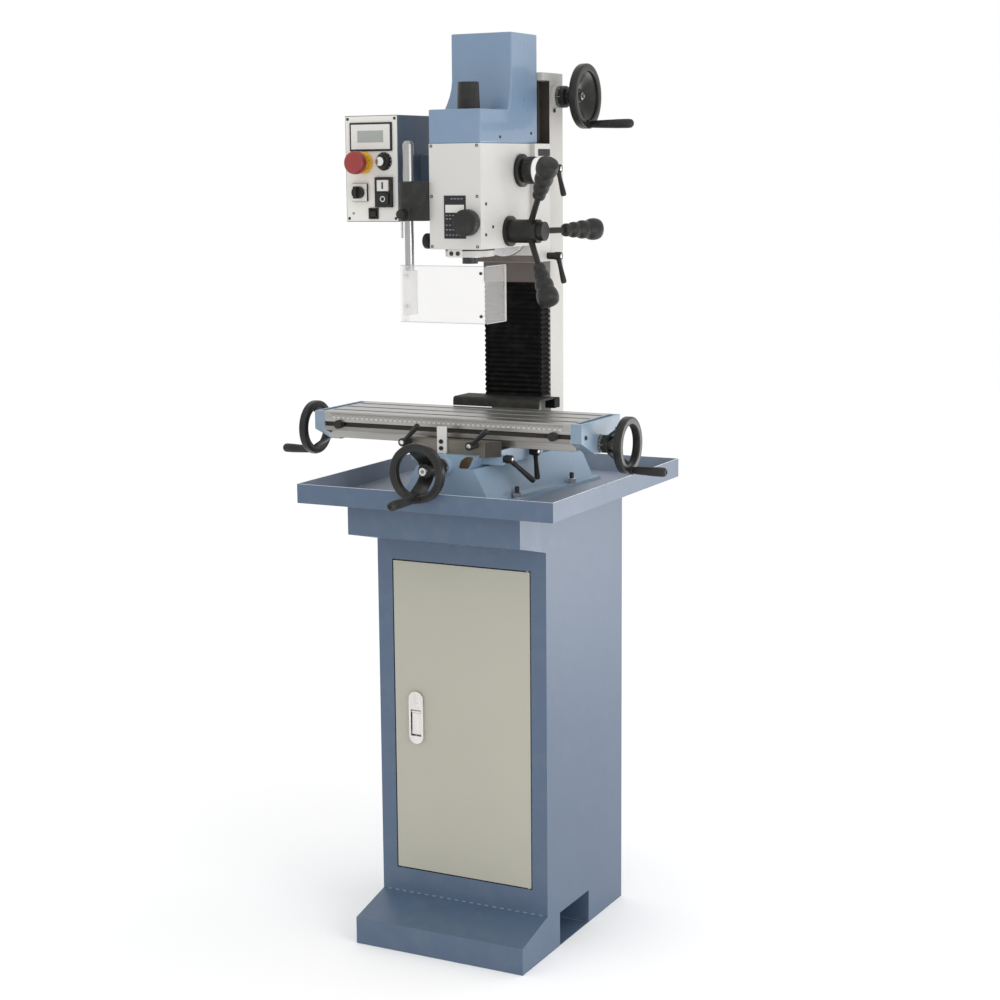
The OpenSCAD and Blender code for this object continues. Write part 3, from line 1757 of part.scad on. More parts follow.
module speed_knob() {
  color("#1d1d1f")
  union() {
    bar_y(box_y0 - face_gap - speed_l, box_y0 - face_gap, row_cx, speed_cz, speed_r);
    bar_y(box_y0 - face_gap - over, box_y0 + plate_t + box_wall, row_cx, speed_cz, speed_shaft_r);
  }
}

// Frames of the switches
module switch_frames() {
  color("#2b2c2f")
  difference() {
    union() {
      block(
        [row_cx - start_w / 2, box_y0 - frame_t, row_cz - start_h / 2],
        [row_cx + start_w / 2, box_y0, row_cz + start_h / 2]
      );
      block(
        [turn_cx - turn_w / 2, box_y0 - frame_t, row_cz - turn_w / 2],
        [turn_cx + turn_w / 2, box_y0, row_cz + turn_w / 2]
      );
      block(
        [rocker_cx - rocker_w / 2 - rocker_rim, box_y0 - rocker_out, rocker_cz - rocker_r - rocker_rim],
        [rocker_cx + rocker_w / 2 + rocker_rim, box_y0, rocker_cz + rocker_r + rocker_rim]
      );
    }
    for (side = [-1, 1])
      button_box(side, button_gap, box_y0 - frame_t - over, box_y0 + over);
    bar_y(
      box_y0 - frame_t - over, box_y0 + over,
      turn_cx, row_cz, speed_shaft_r + run_clear
    );
    block(
      [rocker_cx - rocker_w / 2 - face_gap, box_y0 - rocker_out - over, rocker_cz - rocker_r - face_gap],
      [rocker_cx + rocker_w / 2 + face_gap, box_y0 + over, rocker_cz + rocker_r + face_gap]
    );
  }
}

module direction_knob() {
  color("#1d1d1f")
  union() {
    bar_y(
      turn_y - turn_l, turn_y,
      turn_cx, row_cz, turn_r
    );
    block(
      [turn_cx - turn_bar_w / 2, turn_y - turn_l - turn_bar_l, row_cz - turn_r],
      [turn_cx + turn_bar_w / 2, turn_y - turn_l + over, row_cz + turn_r]
    );
    bar_y(
      turn_y - over, box_y0 + plate_t + box_wall,
      turn_cx, row_cz, speed_shaft_r
    );
  }
}

module start_button() {
  color("#d8d6d0")
  button_box(1, 0, button_y, button_y + button_l);
}

module stop_button() {
  color("#222326")
  button_box(-1, 0, button_y, button_y + button_l);
}

// Rocker on its barrel, with a flat face in front
module rocker() {
  color("#18181a")
  difference() {
    bar_x(rocker_cx - rocker_w / 2, rocker_cx + rocker_w / 2, box_y0, rocker_cz, rocker_r);
    block(
      [rocker_cx - rocker_w, box_y0 + plate_t / 2, rocker_cz - rocker_h],
      [rocker_cx + rocker_w, box_y0 + rocker_h, rocker_cz + rocker_h]
    );
  }
}

// Clamp sleeve and arm for the guard's rod
module guard_clamp() {
  color("#1f1f21")
  difference() {
    union() {
      bar_z(clamp_z0, clamp_z0 + clamp_h, rod_ax, rod_ay, clamp_r);
      block(
        [rod_ax, rod_ay - clamp_half, clamp_z0],
        [-head_x, rod_ay + clamp_half, clamp_z0 + clamp_h]
      );
    }
    bar_z(clamp_z0 - over, clamp_z0 + clamp_h + over, rod_ax, rod_ay, rod_r + run_clear);
    bar_y(rod_ay - clamp_r - over, rod_ay, rod_ax, thumb_cz, thumb_screw_r + run_clear);
  }
}

module guard_knob() {
  color("#18181a")
  union() {
    bar_y(
      rod_ay - clamp_r - face_gap - thumb_l, rod_ay - clamp_r - face_gap,
      rod_ax, thumb_cz, thumb_r
    );
    bar_y(
      rod_ay - clamp_r - face_gap - over, rod_ay - rod_r - face_gap,
      rod_ax, thumb_cz, thumb_screw_r
    );
  }
}

// Guard's rod with the block that holds the shield
module guard_rod() {
  color("#c9ccd0")
  union() {
    bar_z(head_z - rod_foot, head_z + rod_top, rod_ax, rod_ay, rod_r);
    block(
      [rod_ax - block_w, shield_y + shield_t, head_z - rod_foot],
      [rod_ax + block_w, rod_ay + block_back_d, shield_z1 - block_w]
    );
  }
}

// Clear shield folded round the front of the spindle
module guard_shield() {
  color("#dfe3e6")
  union() {
    block(
      [rod_ax - block_w - shield_t, shield_y, shield_z0],
      [shield_right, shield_y + shield_t, shield_z1]
    );
    block(
      [shield_right - shield_t, shield_y, shield_z0],
      [shield_right, shield_y + shield_wing, shield_z1]
    );
    block(
      [rod_ax - block_w - shield_t, shield_y, shield_z0],
      [rod_ax - block_w, shield_y + shield_left_wing, shield_z1]
    );
  }
}

stand();
door();
latch_plate();
latch_paddle();
chip_tray();
hold_down_studs();
base();
column();
z_boss();
bellows();
way_flap();
saddle();
pointer_bracket();
x_lock_left();
x_lock_right();
y_lock_front();
y_lock_rear();
table();
table_ends();
table_stops();
x_screw();
x_wheels();
x_grip_right();
x_grip_left();
y_screw();
y_wheel();
y_grip();
z_screw();
z_wheel();
z_grip();
z_slide();
z_lock_upper();
z_lock_lower();
bellows_apron();
head();
head_front();
gear_panel();
gear_knob();
belt_cover();
motor();
drawbar_cap();
quill();
spindle();
feed_hub();
feed_grips();
spring_housing();
fine_knob();
control_box();
control_panel();
estop();
speed_knob();
switch_frames();
direction_knob();
start_button();
stop_button();
rocker();
guard_clamp();
guard_knob();
guard_rod();
guard_shield();
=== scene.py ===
# %% [markdown]
# # A mill drill on its cabinet stand
#
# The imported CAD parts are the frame: they fix where every piece is and what moves.
# This script dresses them. It sets the camera, floor and light, mixes the paints, metals and
# plastics, rounds the edges that a real casting or folded sheet has, and adds the small things:
# screws, weld beads, dial marks, the display and the print on the switches.
# Lengths in the code are millimetres in the CAD frame, and `MM` turns them into metres.

import json
import math

import bmesh
import bpy
from mathutils import Matrix, Vector


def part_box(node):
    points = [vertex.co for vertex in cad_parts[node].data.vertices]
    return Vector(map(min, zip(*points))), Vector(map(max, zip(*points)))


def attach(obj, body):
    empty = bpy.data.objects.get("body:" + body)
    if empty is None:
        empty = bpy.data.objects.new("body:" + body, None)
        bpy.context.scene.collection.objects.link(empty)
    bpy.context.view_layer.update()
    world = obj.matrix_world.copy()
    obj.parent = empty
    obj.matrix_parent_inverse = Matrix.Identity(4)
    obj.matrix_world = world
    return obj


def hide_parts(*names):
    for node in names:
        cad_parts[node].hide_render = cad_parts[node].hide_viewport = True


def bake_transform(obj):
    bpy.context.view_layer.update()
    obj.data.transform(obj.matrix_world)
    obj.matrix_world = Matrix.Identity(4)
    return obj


MM = 0.001
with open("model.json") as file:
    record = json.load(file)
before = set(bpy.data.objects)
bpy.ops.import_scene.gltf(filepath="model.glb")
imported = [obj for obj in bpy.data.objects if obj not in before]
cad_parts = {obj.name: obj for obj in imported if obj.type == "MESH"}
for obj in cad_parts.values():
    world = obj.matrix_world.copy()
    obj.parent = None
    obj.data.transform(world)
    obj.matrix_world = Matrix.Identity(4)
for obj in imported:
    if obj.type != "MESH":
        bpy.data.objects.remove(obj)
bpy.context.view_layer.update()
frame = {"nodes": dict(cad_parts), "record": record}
nodes = frame["nodes"]
record = frame["record"]
body_of = {n: b for b, members in record["behaviour"]["bodies"].items() for n in members}
joint_of = {j["name"]: j for j in record["behaviour"]["joints"]}
scene = bpy.context.scene

# %% [markdown]
# ## Camera
# The photograph was taken from the operator's right, at about the height of the machine's head and
# looking down a little, with a long lens.
# A camera can be aimed with a tracking constraint, but the picture's slight tilt and shift would be
# lost. So its three axes and its place are written out, as solved from the machine's own edges.

# %% Place the camera
RIGHT = Vector((0.8836, 0.4681, -0.0113))
UP = Vector((-0.0678, 0.1517, 0.9861))
BACK = Vector((0.4633, -0.8705, 0.1658))
EYE = Vector((1.6492, -3.1960, 1.4176))
LENS, FILM_WIDE = 70.84, 36
SHIFT_X, SHIFT_Y = 0.0356, 0.0014

camera = bpy.data.objects.new("camera", bpy.data.cameras.new("camera"))
scene.collection.objects.link(camera)
camera.matrix_world = Matrix((
    (RIGHT.x, UP.x, BACK.x, EYE.x),
    (RIGHT.y, UP.y, BACK.y, EYE.y),
    (RIGHT.z, UP.z, BACK.z, EYE.z),
    (0, 0, 0, 1),
))
camera.data.sensor_width = FILM_WIDE
camera.data.lens = LENS
camera.data.shift_x = SHIFT_X
camera.data.shift_y = SHIFT_Y
scene.camera = camera
print("camera at", tuple(round(v, 3) for v in EYE))

# %% [markdown]
# ## Floor
# A wide pale floor that glows a little, so that it melts into the white sky and still holds the
# machine's shadow. A shadow catcher would hold the shadow but leave out the ground's own light, so
# this is a real plane. It lies a hair below the stand, so the two don't fight.

# %% Lay the floor
FLOOR_HALF, FLOOR_DROP, FLOOR_GLOW = 9, 0.0004, 0.125

floor_mesh = bpy.data.meshes.new("floor")
floor_corners = [(x * FLOOR_HALF, y * FLOOR_HALF, 0) for x, y in ((-1, -1), (1, -1), (1, 1), (-1, 1))]
floor_mesh.from_pydata(floor_corners, [], [(0, 1, 2, 3)])
floor = bpy.data.objects.new("floor", floor_mesh)
scene.collection.objects.link(floor)
floor.location.z = -FLOOR_DROP
floor_paint = bpy.data.materials.new("floor")
floor_paint.use_nodes = True
floor_shader = floor_paint.node_tree.nodes["Principled BSDF"]
floor_shader.inputs["Base Color"].default_value = (0.9, 0.9, 0.9, 1)
floor_shader.inputs["Roughness"].default_value = 0.85
floor_shader.inputs["Specular IOR Level"].default_value = 0.1
floor_shader.inputs["Emission Color"].default_value = (1, 1, 1, 1)
floor_shader.inputs["Emission Strength"].default_value = FLOOR_GLOW
floor_mesh.materials.append(floor_paint)
print("floor", 2 * FLOOR_HALF, "m wide")

# %% [markdown]
# ## Light
# The white sky does most of the work. Two soft lights low on the right make the right-hand faces of
# the stand and the base the bright ones: the key shapes them, and the panel behind is mirrored in
# their enamel. Area lights give broad, soft-edged highlights, where point lights would leave dots.

# %% Set sky and lights
world = bpy.data.worlds.new("studio")
scene.world = world
world.use_nodes = True
sky = world.node_tree.nodes["Background"]
sky.inputs["Color"].default_value = (1, 1, 1, 1)
sky.inputs["Strength"].default_value = 1.0
scene.view_settings.view_transform = "Standard"


def soft_light(name, place, aim, width, power):
    """A square area light at place, turned towards aim."""
    data = bpy.data.lights.new(name, "AREA")
    data.size = width
    data.energy = power
    lamp = bpy.data.objects.new(name, data)
    scene.collection.objects.link(lamp)
    lamp.location = place
    lamp.rotation_euler = (Vector(aim) - Vector(place)).to_track_quat("-Z", "Y").to_euler()
    return lamp


soft_light("key", place=(1.6, -0.75, 0.95), aim=(0, 0, 0.75), width=1.0, power=8)
soft_light("sheen", place=(1.9, 2.2, 0.35), aim=(0.15, 0, 0.5), width=1.2, power=20)
print("sky and two lights")

# %% [markdown]
# ## Shared surface effects
# Three shader groups carry the effects that many materials share. Each takes a colour and a few
# amounts and gives a colour, a roughness and a height, so a material is a group, a bump and a shader.
# All of them read object coordinates, which here are the CAD frame's metres. First come the small
# tools that place and wire one node each.

# %% Node tools


def new_group(name, amounts):
    """An empty shader group: Colour and the amounts go in; Colour, Roughness and Height come out."""
    tree = bpy.data.node_groups.new(name, "ShaderNodeTree")
    face = tree.interface
    face.new_socket("Colour", in_out="INPUT", socket_type="NodeSocketColor")
    for amount, value in amounts.items():
        face.new_socket(amount, in_out="INPUT", socket_type="NodeSocketFloat").default_value = value
    face.new_socket("Colour", in_out="OUTPUT", socket_type="NodeSocketColor")
    face.new_socket("Roughness", in_out="OUTPUT", socket_type="NodeSocketFloat")
    face.new_socket("Height", in_out="OUTPUT", socket_type="NodeSocketFloat")
    return tree, tree.nodes.new("NodeGroupInput"), tree.nodes.new("NodeGroupOutput")


def feed(tree, socket, value):
    """Puts a number on a socket, or links another socket to it."""
    if isinstance(value, bpy.types.NodeSocket):
        tree.links.new(value, socket)
    else:
        socket.default_value = value


def noise(tree, scale, detail=2.0, vector=None):
    """A noise texture on object coordinates, or on the given vector."""
    node = tree.nodes.new("ShaderNodeTexNoise")
    node.inputs["Detail"].default_value = detail
    feed(tree, node.inputs["Scale"], scale)
    if vector is None:
        vector = tree.nodes.new("ShaderNodeTexCoord").outputs["Object"]
    tree.links.new(vector, node.inputs["Vector"])
    return node.outputs["Fac"]


def spread(tree, value, low, high, out_low, out_high):
    """Maps value from low..high to out_low..out_high, clamped."""
    node = tree.nodes.new("ShaderNodeMapRange")
    limits = {"From Min": low, "From Max": high, "To Min": out_low, "To Max": out_high}
    for socket, limit in limits.items():
        node.inputs[socket].default_value = limit
    tree.links.new(value, node.inputs["Value"])
    return node.outputs["Result"]


def maths(tree, operation, a, b):
    """One arithmetic node; a and b are sockets or numbers."""
    node = tree.nodes.new("ShaderNodeMath")
    node.operation = operation
    feed(tree, node.inputs[0], a)
    feed(tree, node.inputs[1], b)
    return node.outputs[0]


def shade(tree, colour, factor):
    """The colour made lighter or darker by factor."""
    node = tree.nodes.new("ShaderNodeVectorMath")
    node.operation = "SCALE"
    tree.links.new(colour, node.inputs[0])
    tree.links.new(factor, node.inputs["Scale"])
    return node.outputs[0]


def mix_colour(tree, factor, a, b):
    """Colour a where factor is 0 and colour b where it is 1."""
    node = tree.nodes.new("ShaderNodeMix")
    node.data_type = "RGBA"
    feed(tree, node.inputs[0], factor)
    feed(tree, node.inputs[6], a)
    feed(tree, node.inputs[7], b)
    return node.outputs[2]


print("node tools ready")

# %% [markdown]
# ## The three effects
# Enamel drifts in shade from place to place, has the fine dimples painters call orange peel, and
# loses gloss where dust lies. Ground metal has scratches that run one way, made by stretching the
# noise along that axis, and patches of oil. Moulded plastic has a fine grain. Image textures could
# show all this too, but noise needs no unwrapping and keeps its real scale on every piece.

# %% Build the effect groups
DUST_ON_PAINT = (0.62, 0.6, 0.57, 1)
DUST_ON_PLASTIC = (0.42, 0.41, 0.4, 1)
OIL_ON_METAL = (0.24, 0.2, 0.16, 1)


def make_paint():
    """Enamel: slow shade drift, orange peel, and dust that thins the gloss in patches."""
    amounts = {"Peel": 900.0, "Drift": 0.05, "Gloss": 0.32, "Dust": 0.1}
    tree, into, out = new_group("paint", amounts)
    slow = noise(tree, 7.0, 3.0)
    patch = noise(tree, 38.0, 4.0)
    drift = maths(tree, "MULTIPLY", maths(tree, "SUBTRACT", slow, 0.5), into.outputs["Drift"])
    factor = maths(tree, "ADD", maths(tree, "MULTIPLY", drift, 2.0), 1.0)
    toned = shade(tree, into.outputs["Colour"], factor)
    dusty = maths(tree, "MULTIPLY", spread(tree, patch, 0.45, 0.75, 0.0, 1.0), into.outputs["Dust"])
    tree.links.new(mix_colour(tree, dusty, toned, DUST_ON_PAINT), out.inputs["Colour"])
    rough = maths(tree, "ADD", into.outputs["Gloss"], maths(tree, "MULTIPLY", patch, 0.16))
    tree.links.new(rough, out.inputs["Roughness"])
    tree.links.new(noise(tree, into.outputs["Peel"], 1.0), out.inputs["Height"])
    return tree


def make_ground():
    """Ground or turned metal: long scratches along one axis and a faint oily bloom."""
    amounts = {"Along X": 1.0, "Along Y": 1.0, "Along Z": 1.0, "Gloss": 0.28, "Oil": 0.2}
    tree, into, out = new_group("ground", amounts)
    place = tree.nodes.new("ShaderNodeTexCoord").outputs["Object"]
    stretch = tree.nodes.new("ShaderNodeVectorMath")
    stretch.operation = "MULTIPLY"
    axes = tree.nodes.new("ShaderNodeCombineXYZ")
    for i, name in enumerate(("Along X", "Along Y", "Along Z")):
        tree.links.new(into.outputs[name], axes.inputs[i])
    tree.links.new(place, stretch.inputs[0])
    tree.links.new(axes.outputs[0], stretch.inputs[1])
    lines = noise(tree, 420.0, 3.0, stretch.outputs[0])
    bloom = noise(tree, 16.0, 4.0)
    toned = shade(tree, into.outputs["Colour"], spread(tree, lines, 0.3, 0.7, 0.86, 1.1))
    oily = maths(tree, "MULTIPLY", spread(tree, bloom, 0.5, 0.72, 0.0, 1.0), into.outputs["Oil"])
    tree.links.new(mix_colour(tree, oily, toned, OIL_ON_METAL), out.inputs["Colour"])
    rough = maths(tree, "ADD", into.outputs["Gloss"], maths(tree, "MULTIPLY", lines, 0.22))
    wetter = maths(tree, "MULTIPLY", oily, 0.15)
    tree.links.new(maths(tree, "SUBTRACT", rough, wetter), out.inputs["Roughness"])
    tree.links.new(lines, out.inputs["Height"])
    return tree


def make_moulded():
    """Moulded plastic or rubber: fine grain with a little grey dust in it."""
    tree, into, out = new_group("moulded", {"Grain": 1600.0, "Gloss": 0.36, "Dust": 0.06})
    grain = noise(tree, into.outputs["Grain"], 2.0)
    patch = noise(tree, 60.0, 4.0)
    dusty = maths(tree, "MULTIPLY", spread(tree, patch, 0.48, 0.78, 0.0, 1.0), into.outputs["Dust"])
    toned = mix_colour(tree, dusty, into.outputs["Colour"], DUST_ON_PLASTIC)
    tree.links.new(toned, out.inputs["Colour"])
    rough = maths(tree, "ADD", into.outputs["Gloss"], maths(tree, "MULTIPLY", patch, 0.2))
    tree.links.new(rough, out.inputs["Roughness"])
    tree.links.new(grain, out.inputs["Height"])
    return tree


PAINT = make_paint()
GROUND = make_ground()
MOULDED = make_moulded()
print("shader groups:", [g.name for g in (PAINT, GROUND, MOULDED)])

# %% [markdown]
# ## Enamels
# One material for each finish on the machine. The group gives what changes over the surface, and
# what is the same all over, such as the coat or the metalness, is set on the shader itself. The
# blues, the warm white and the beige were matched by comparing renders with the photograph.

# %% Mix the enamels


def material(name, group, colour, bump=0.1, metallic=0.0, coat=0.0, specular=0.5, **amounts):
    """A material: the group's colour, roughness and height on one principled shader."""
    mat = bpy.data.materials.new(name)
    mat.use_nodes = True
    tree = mat.node_tree
    shader = tree.nodes["Principled BSDF"]
    shader.inputs["Metallic"].default_value = metallic
    shader.inputs["Coat Weight"].default_value = coat
    shader.inputs["Specular IOR Level"].default_value = specular
    effect = tree.nodes.new("ShaderNodeGroup")
    effect.node_tree = group
    effect.inputs["Colour"].default_value = (*colour, 1)
    for amount, value in amounts.items():
        effect.inputs[amount.replace("_", " ")].default_value = value
    tree.links.new(effect.outputs["Colour"], shader.inputs["Base Color"])
    tree.links.new(effect.outputs["Roughness"], shader.inputs["Roughness"])
    relief = tree.nodes.new("ShaderNodeBump")
    relief.inputs["Strength"].default_value = bump
    relief.inputs["Distance"].default_value = 0.2 * MM
    tree.links.new(effect.outputs["Height"], relief.inputs["Height"])
    tree.links.new(relief.outputs["Normal"], shader.inputs["Normal"])
    return mat


def enamel(name, colour, gloss, drift, dust, **rest):
    """Paint with its gloss, shade drift and dust."""
    return material(name, PAINT, colour, Gloss=gloss, Drift=drift, Dust=dust, **rest)


CAST_PEEL = 420.0
STAND = enamel("stand_enamel", (0.075, 0.116, 0.184), 0.3, 0.05, 0.03)
# The weld's enamel is a lighter copy of the stand's: a painted highlight on the beads.
WELD = enamel("weld_enamel_highlight", (0.17, 0.22, 0.305), 0.3, 0.1, 0.03, bump=0.3)
DOOR = enamel("door_enamel", (0.41, 0.4, 0.335), 0.42, 0.04, 0.02)
# The tray film is far lighter than the stand's enamel: dust, and painted light falling into the tray.
DUSTY_AND_LIT = enamel("tray_dust_and_light", (0.27, 0.315, 0.39), 0.4, 0.12, 0.08, bump=0.2)
# The rim strip is a pale copy of the blue enamel: a painted highlight on the tray's top edges.
RIM = enamel("rim_highlight", (0.62, 0.64, 0.68), 0.2, 0.1, 0.02)
BLUE = enamel("machine_enamel", (0.27, 0.375, 0.49), 0.26, 0.06, 0.05, bump=0.16, Peel=CAST_PEEL)
# The brackets' enamel is a darker copy of the machine blue: painted shade on the table's end brackets.
END = enamel("bracket_enamel_shaded", (0.2, 0.28, 0.365), 0.26, 0.06, 0.1, bump=0.16, Peel=CAST_PEEL)
# The column's enamel is a darker copy of the head's white: painted shade on the column behind the head.
COLUMN_WHITE_SHADED = enamel("column_enamel_shaded", (0.52, 0.505, 0.475), 0.28, 0.03, 0.1, bump=0.14, Peel=CAST_PEEL)
WHITE = enamel("head_enamel", (0.6, 0.585, 0.56), 0.28, 0.03, 0.03, bump=0.14, Peel=CAST_PEEL)
COVER = enamel("cover_enamel", (0.17, 0.255, 0.37), 0.22, 0.06, 0.02, coat=0.3)
BOX = enamel("box_enamel", (0.085, 0.122, 0.172), 0.3, 0.06, 0.04)
PANEL = enamel("panel_print", (0.76, 0.74, 0.7), 0.34, 0.02, 0.02, bump=0.05)
WHEEL = enamel("wheel_enamel", (0.014, 0.014, 0.013), 0.24, 0.2, 0.02, bump=0.12, specular=0.3, Peel=600.0)
print(len(bpy.data.materials), "materials so far")

# %% [markdown]
# ## Metals
# Table, ways, screws and rod. An axis amount well below one draws the scratches out along that axis:
# along X on the table, along Z on the rod. Old oil is nearly black and hardly shines, and the same
# near-black also serves as painted shade in gaps and on shaded faces.

# %% Mix the metals


def metal(name, colour, metallic, bump, gloss, oil, **rest):
    """Ground or turned metal with its gloss and oil."""
    return material(name, GROUND, colour, metallic=metallic, bump=bump, Gloss=gloss, Oil=oil, **rest)


IRON = metal("ground_iron", (0.41, 0.4, 0.385), 0.85, 0.12, 0.24, 0.25, Along_X=0.03)
BAND = metal("darker_iron", (0.29, 0.28, 0.265), 0.85, 0.14, 0.26, 0.4, Along_X=0.03)
SADDLE = metal("scraped_iron", (0.21, 0.195, 0.165), 0.6, 0.12, 0.34, 0.35, Along_X=0.05)
OILY = metal("oily_iron", (0.1, 0.065, 0.035), 0.55, 0.2, 0.3, 0.6, Along_Y=0.1)
# Near-black for old oil, and also painted shade where it lies on shaded ways, corners and gaps.
SOOT_AND_SHADE = metal("old_oil_and_shade", (0.042, 0.036, 0.032), 0.0, 0.2, 0.4, 0.06, Along_Z=0.1, specular=0.2)
APRON = metal("apron_plate", (0.13, 0.11, 0.1), 0.3, 0.15, 0.45, 0.5)
STEEL = metal("turned_steel", (0.62, 0.62, 0.62), 1.0, 0.1, 0.2, 0.1, Along_Y=0.08)
ROD = metal("polished_rod", (0.38, 0.38, 0.38), 1.0, 0.04, 0.1, 0.02, Along_Z=0.04)
CHROME = metal("latch_chrome", (0.74, 0.73, 0.71), 1.0, 0.05, 0.16, 0.05, Along_Z=0.05)
NUT = metal("hub_nut", (0.24, 0.235, 0.23), 0.9, 0.1, 0.24, 0.3)
DARK = metal("blackened_steel", (0.055, 0.055, 0.06), 0.7, 0.1, 0.3, 0.1)
print(len(bpy.data.materials), "materials so far")

# %% [markdown]
# ## Plastics, rubber and print
# Knobs, grips, switches, the bellows and the clear guard. The guard could be made of glass with
# transmission, but a scuffed thin sheet hardly bends light, so a low alpha is closer and cheaper.

# %% Mix the plastics


def plastic(name, colour, bump, gloss, dust, **rest):
    """Moulded plastic or rubber with its gloss and dust."""
    return material(name, MOULDED, colour, bump=bump, Gloss=gloss, Dust=dust, **rest)


SHEET_ALPHA = 0.22
PLASTIC = plastic("black_plastic", (0.017, 0.017, 0.016), 0.12, 0.32, 0.04, specular=0.3)
GREY = plastic("grey_plastic", (0.2, 0.2, 0.2), 0.08, 0.4, 0.05)
PALE = plastic("pale_plastic", (0.7, 0.69, 0.66), 0.06, 0.3, 0.03)
MILKY = plastic("milky_plastic", (0.8, 0.8, 0.79), 0.04, 0.3, 0.04)
RED = plastic("stop_red", (0.28, 0.026, 0.027), 0.05, 0.24, 0.03)
YELLOW = plastic("stop_yellow", (0.75, 0.42, 0.02), 0.06, 0.34, 0.03)
RUBBER = plastic("bellows_cloth", (0.006, 0.006, 0.006), 0.25, 0.55, 0.03, specular=0.15)
FLAP = plastic("flap_rubber", (0.024, 0.024, 0.02), 0.2, 0.5, 0.05, specular=0.2)
RULE = plastic("rule_strip", (0.36, 0.35, 0.33), 0.05, 0.34, 0.1, metallic=0.4)
INK = plastic("ink", (0.03, 0.03, 0.035), 0.02, 0.5, 0.0, specular=0.2)
GLASS = plastic("display_glass", (0.33, 0.35, 0.33), 0.02, 0.1, 0.02, coat=0.5)
EDGE = plastic("sheet_edge", (0.5, 0.5, 0.49), 0.03, 0.2, 0.02)
CLEAR = plastic("clear_sheet", (0.8, 0.785, 0.77), 0.03, 0.2, 0.02)
CLEAR.node_tree.nodes["Principled BSDF"].inputs["Alpha"].default_value = SHEET_ALPHA
print(len(bpy.data.materials), "materials in all")

# %% [markdown]
# ## Placing pieces
# `soften` copies a CAD node and rounds its edges, which is all that most castings and sheets need:
# a bevel catches the light along each edge as real metal does. `piece` makes a mesh afresh. Both end
# in `finish_piece`, which puts the mesh in the scene on its body.

# %% Tools that place pieces
BEVEL_FROM = math.radians(32)
WELD_DISTANCE, FLAT_ANGLE = 2e-6, math.radians(0.5)


def finish_piece(name, mesh, mat, body, stands_for=(), slot=None, angle=40, round_by=0.0, steps=2):
    """Puts a mesh in the scene with its material, on its body, standing for CAD nodes if it does."""
    obj = bpy.data.objects.new(name, mesh)
    scene.collection.objects.link(obj)
    mesh.materials.clear()
    mesh.materials.append(mat)
    if round_by:
        edge = obj.modifiers.new("edges", "BEVEL")
        edge.width = round_by * MM
        edge.segments = steps
        edge.limit_method = "ANGLE"
        edge.angle_limit = BEVEL_FROM
        edge.harden_normals = False
    mesh.polygons.foreach_set("use_smooth", [True] * len(mesh.polygons))
    mesh.set_sharp_from_angle(angle=math.radians(angle))
    if body:
        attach(obj, body)
    for node in stands_for:
        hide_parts(node)
    return obj


def soften(node, mat, round_by, steps=2, rides=True):
    """A copy of a CAD node with rounded edges, standing for the node."""
    mesh = nodes[node].data.copy()
    if "custom_normal" in mesh.attributes:
        mesh.attributes.remove(mesh.attributes["custom_normal"])
    bm = bmesh.new()
    bm.from_mesh(mesh)
    bmesh.ops.remove_doubles(bm, verts=bm.verts, dist=WELD_DISTANCE)
    bmesh.ops.dissolve_limit(bm, angle_limit=FLAT_ANGLE, verts=bm.verts, edges=bm.edges)
    bmesh.ops.recalc_face_normals(bm, faces=bm.faces)
    bm.to_mesh(mesh)
    bm.free()
    body = body_of[node] if rides else None
    return finish_piece("soft_" + node, mesh, mat, body, (node,), round_by=round_by, steps=steps)


def repaint(node, mat):
    """A CAD node that keeps its shape and gets a better material."""
    nodes[node].data.materials.clear()
    nodes[node].data.materials.append(mat)


print("finishing tools ready")

# %% [markdown]
# ## Making and placing meshes
# A new shape is drawn in a `bmesh`, Blender's editable mesh, then moved to its place by a matrix and
# handed over. Edit mode would do the same by hand, but a function can be run again for each copy.

# %% Tools that make and place meshes


def mesh_of(name, build, place=None):
    """The mesh that build(bm) makes, moved by place."""
    bm = bmesh.new()
    build(bm)
    if place is not None:
        bmesh.ops.transform(bm, matrix=place, verts=bm.verts)
    bmesh.ops.recalc_face_normals(bm, faces=bm.faces)
    mesh = bpy.data.meshes.new(name)
    bm.to_mesh(mesh)
    bm.free()
    return mesh


def piece(name, build, mat, body, stands_for=(), place=None, **finish):
    """A piece whose mesh build(bm) makes, moved by place."""
    return finish_piece(name, mesh_of(name, build, place), mat, body, stands_for, **finish)


def copies(bm, build, places):
    """Runs build(bm) once for each placing matrix, and moves each result by it."""
    for place in places:
        there = set(bm.verts)
        build(bm)
        bmesh.ops.transform(bm, matrix=place, verts=[v for v in bm.verts if v not in there])


def bounds_of(node):
    """A CAD node's lowest and highest corner in millimetres."""
    low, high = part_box(node)
    return low / MM, high / MM


def pivot(joint):
    """The point that a joint turns about, in millimetres."""
    return Vector(joint_of[joint]["pos_m"]) / MM


def at(x, y, z, turn=None):
    """A placing matrix: a turn, then a move in millimetres."""
    return Matrix.Translation(point((x, y, z))) @ (turn or Matrix.Identity(4))


def point(p):
    """A point in metres from one in millimetres."""
    return Vector(p) * MM


print("placing tools ready")

# %% [markdown]
# ## Modelling tools
# The shapes of a machine shop: a box, an outline pushed along an axis, a shape turned on a lathe and
# a bar swept along a line. `fillet` rounds the corners of an outline with a short curve.

# %% Tools that make shapes
X, Y, Z = (1, 0, 0), (0, 1, 0), (0, 0, 1)
TO_LEFT, FORWARD = (-1, 0, 0), (0, -1, 0)


def box(bm, a, b):
    """A box between two corners."""
    corners = [(x, y, z) for z in (a[2], b[2]) for y in (a[1], b[1]) for x in (a[0], b[0])]
    v = [bm.verts.new(point(corner)) for corner in corners]
    for f in ((0, 2, 3, 1), (4, 5, 7, 6), (0, 1, 5, 4), (2, 6, 7, 3), (0, 4, 6, 2), (1, 3, 7, 5)):
        bm.faces.new([v[i] for i in f])


